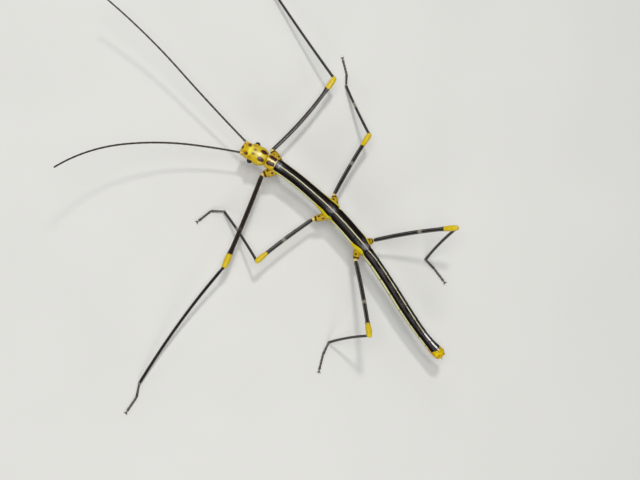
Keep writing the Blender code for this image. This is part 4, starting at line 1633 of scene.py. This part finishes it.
# %% Lid and cerci
def add_tail():
    """The lid over the vent and the two cerci."""
    centre, back, left, up = spine_frame(BODY_LENGTH)
    start = centre + up * 0.42 - back * 0.6
    path, lid_length = along_line(start, start + back * 0.66 - up * 0.12)
    frames = limb_frames(path, spread(0, lid_length, 0.08), left, 0.1, 0.16)
    frames = [(distance, reach, point, left, up) for distance, reach, point, _, _ in frames]

    def radius(distance, turn):
        width = between(((0, 0.5), (0.6, 0.42), (1, 0.26)), distance / lid_length)[0]
        return width * (0.35 + 0.65 * sin(radians(abs(turn))) ** 2)

    add_limb("lid_skin", frames, radius, all_alike(TAIL_MARKS), 20, 1.0, TRUNK)
    for side, sign in SIDES.items():
        base = centre + left * 0.62 * sign + up * 0.16 - back * 0.12
        path, length = along_line(base, base + back * 0.4 + left * 0.08 * sign - up * 0.1)
        frames = limb_frames(path, spread(0, length, 0.07), up, 0.15, 0.1)
        rows = ((0, 0.22), (0.3, 0.24), (0.7, 0.2), (1, 0.1))
        name = "cercus_skin_" + side
        add_limb(name, frames, by_rows(rows, length), all_alike(TAIL_MARKS), 16, 1.0, TRUNK)


add_tail()
print("shells with the tail", len(SHELLS))

# %% [markdown]
# ## One skin
#
# The shells are joined into one object that stands for all the nodes of flesh. Each is closed and ends
# inside the next, as the real plates and segments do, so no seam shows. A remesh would melt them together,
# but it would lose the keels and the furrows.

# %% Join
FLESH = [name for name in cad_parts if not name.startswith(("eye_", "claws_"))]
select_only(*SHELLS)
bpy.context.view_layer.objects.active = skin
bpy.ops.object.join()
skin = bpy.context.object
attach(skin, "root")
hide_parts(*FLESH)
triangles = sum(len(face.vertices) - 2 for face in skin.data.polygons)
print("skin triangles", triangles, "nodes of flesh", len(FLESH))

# %% [markdown]
# ## Eyes
#
# Compound eyes: small black domes of hundreds of lenses. A ball of triangles turns into six-sided lenses
# when its points are bevelled by a third of each edge. Each lens is then inset and pushed out a little.

# %% Eye finish
def eye_finish():
    """Polished black, faintly red where light goes in."""
    material, tree = new_finish("polished_eye")
    colour = over(tree, "#070505", "#1C0C08", clouds(tree, 0.5))
    surface = lacquer(tree, colour, 0.2, grain=0.03, depth=0.002, coat=0.3, gloss=0.35)
    surface.inputs["Coat Roughness"].default_value = 0.05
    return material


EYE = eye_finish()
print(EYE.name, len(EYE.node_tree.nodes), "nodes")

# %% Eyes
EYE_SIZE = Vector((0.6, 0.55, 0.6))  # half sizes: along the head, beside it and upright
LENS_BULGE, LENS_GAP = 0.006, 0.018


def add_eye(side, sign):
    """One eye, in its socket."""
    select_only()
    bpy.ops.mesh.primitive_ico_sphere_add(subdivisions=4, radius=1, location=(0, 0, 0))
    eye = bpy.context.object
    eye.name = eye.data.name = "eye_lens_" + side
    bpy.ops.object.mode_set(mode="EDIT")
    bpy.ops.mesh.select_all(action="SELECT")
    bpy.ops.mesh.bevel(affect="VERTICES", offset_type="PERCENT", offset_pct=33, segments=1)
    bpy.ops.mesh.select_mode(type="FACE")
    bpy.ops.mesh.select_all(action="SELECT")
    bpy.ops.mesh.inset(thickness=LENS_GAP, depth=LENS_BULGE / EYE_SIZE.x * 1.5, use_individual=True)
    bpy.ops.object.mode_set(mode="OBJECT")
    centre, back, left, up = head_place(EYE_PLACE, sign)
    turn = Matrix((back, left * sign, up)).transposed()
    for vertex in eye.data.vertices:
        size = Vector(a * b for a, b in zip(vertex.co, EYE_SIZE))
        vertex.co = (centre + turn @ size) * MM
    point_outwards(eye)
    eye.data.materials.append(EYE)
    bpy.ops.object.shade_smooth_by_angle(angle=radians(30))
    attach(eye, "root")
    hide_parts("eye_" + side)
    return eye


for side, sign in SIDES.items():
    eye = add_eye(side, sign)
print("eye faces", len(eye.data.polygons))

# %% [markdown]
# ## Claws
#
# Each foot ends in two hooks. One pair is modelled at the origin, pointing along +Y, and the other feet get
# copies, each with its own mesh, turned to the foot's heading.

# %% Claw finish
def claw_finish():
    """Brown horn, darker towards the points."""
    material, tree = new_finish("polished_claw")
    along, _, _ = read_marks(tree)
    out = add(tree, "Math", (along,), operation="ABSOLUTE")
    tip = add(tree, "Math", (out, 1.6, -0.5), operation="MULTIPLY_ADD", use_clamp=True)
    colour = over(tree, "#5A3A1C", "#170D07", tip)
    lacquer(tree, colour, 0.25, depth=0.004)
    return material


CLAW = claw_finish()
print(CLAW.name, len(CLAW.node_tree.nodes), "nodes")


# %% First pair of claws
def add_claw_pair():
    """Two hooks and the bar between them, as one bent tube in millimetres at the origin."""
    count = 48  # lengths of the tube
    frames = []
    for number in range(count + 1):
        way = 2 * number / count - 1
        spread_out = 0.4 * sin(way * pi / 2)
        reach = 0.1 + 0.42 * abs(way) ** 1.5
        height = 0.16 * sin(pi * abs(way)) - 0.13 * way * way
        frames.append((way, Vector((spread_out, reach, height))))
    piece = rod("claws", count, 14)
    marks = piece.data.attributes.new("marks", "FLOAT_VECTOR", "POINT")
    for vertex in piece.data.vertices:
        ring = round(vertex.co.z)
        way, centre = frames[ring]
        before, after = frames[max(ring - 1, 0)][1], frames[min(ring + 1, count)][1]
        along = (after - before).normalized()
        up = along.cross(Vector((0, 1, 0))).normalized() if abs(way) < 0.1 else Vector((0, 0, 1))
        across = along.cross(up).normalized()
        up = across.cross(along)
        size = 0.012 + 0.115 * (1 - abs(way)) ** 0.6
        vertex.co = centre + (across * vertex.co.x * 0.8 + up * vertex.co.y) * size
        marks.data[vertex.index].vector = (way, 0, 0)
    return piece


first_claws = add_claw_pair()
print("faces of a pair of claws", len(first_claws.data.polygons))

# %% Claws of each foot
CLAW_REACH = 0.41  # of the claws' root past the toe


def copy_claws(leg):
    """A pair of claws at the end of a foot."""
    *_, ball, toe = leg_joints(leg)
    forward = (toe - ball).normalized()
    across = forward.cross(Vector((0, 0, 1)))
    start = toe + forward * CLAW_REACH
    pair = first_claws.copy()
    pair.data = first_claws.data.copy()
    pair.name = pair.data.name = "claw_pair_" + leg
    bpy.context.scene.collection.objects.link(pair)
    turn = Matrix((across, forward, Vector((0, 0, 1)))).transposed()
    for vertex in pair.data.vertices:
        vertex.co = (start + turn @ vertex.co) * MM
    pair.data.materials.append(CLAW)
    point_outwards(pair)
    bpy.ops.object.shade_smooth_by_angle(angle=radians(50))
    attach(pair, "root")
    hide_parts("claws_" + leg)


for leg in POSES:
    copy_claws(leg)
bpy.data.objects.remove(first_claws)
print("pairs of claws", len(POSES))

# %% [markdown]
# ## The card underneath and the sizes
#
# The floor is matt card: rough, so that it throws soft shadows and no reflections. Last, the boxes round the
# solids and round what shows are printed.

# %% Floor finish
def floor_finish():
    """Matt pale card."""
    material, tree = new_finish("matt_pale_card")
    colour = over(tree, "#DEDDD7", "#D8D7D1", clouds(tree, 30))
    surface = add(tree, "BsdfPrincipled", {"Base Color": colour, "Roughness": 0.8})
    add(tree, "OutputMaterial", {"Surface": surface})
    return material


floor.data.materials.append(floor_finish())
print("floor", floor.active_material.name)

# %% Sizes
visual_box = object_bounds()
for name, corners in (("solids", cad_box), ("visual", visual_box)):
    print(name, [[round(value * 1000, 2) for value in corner] for corner in corners])
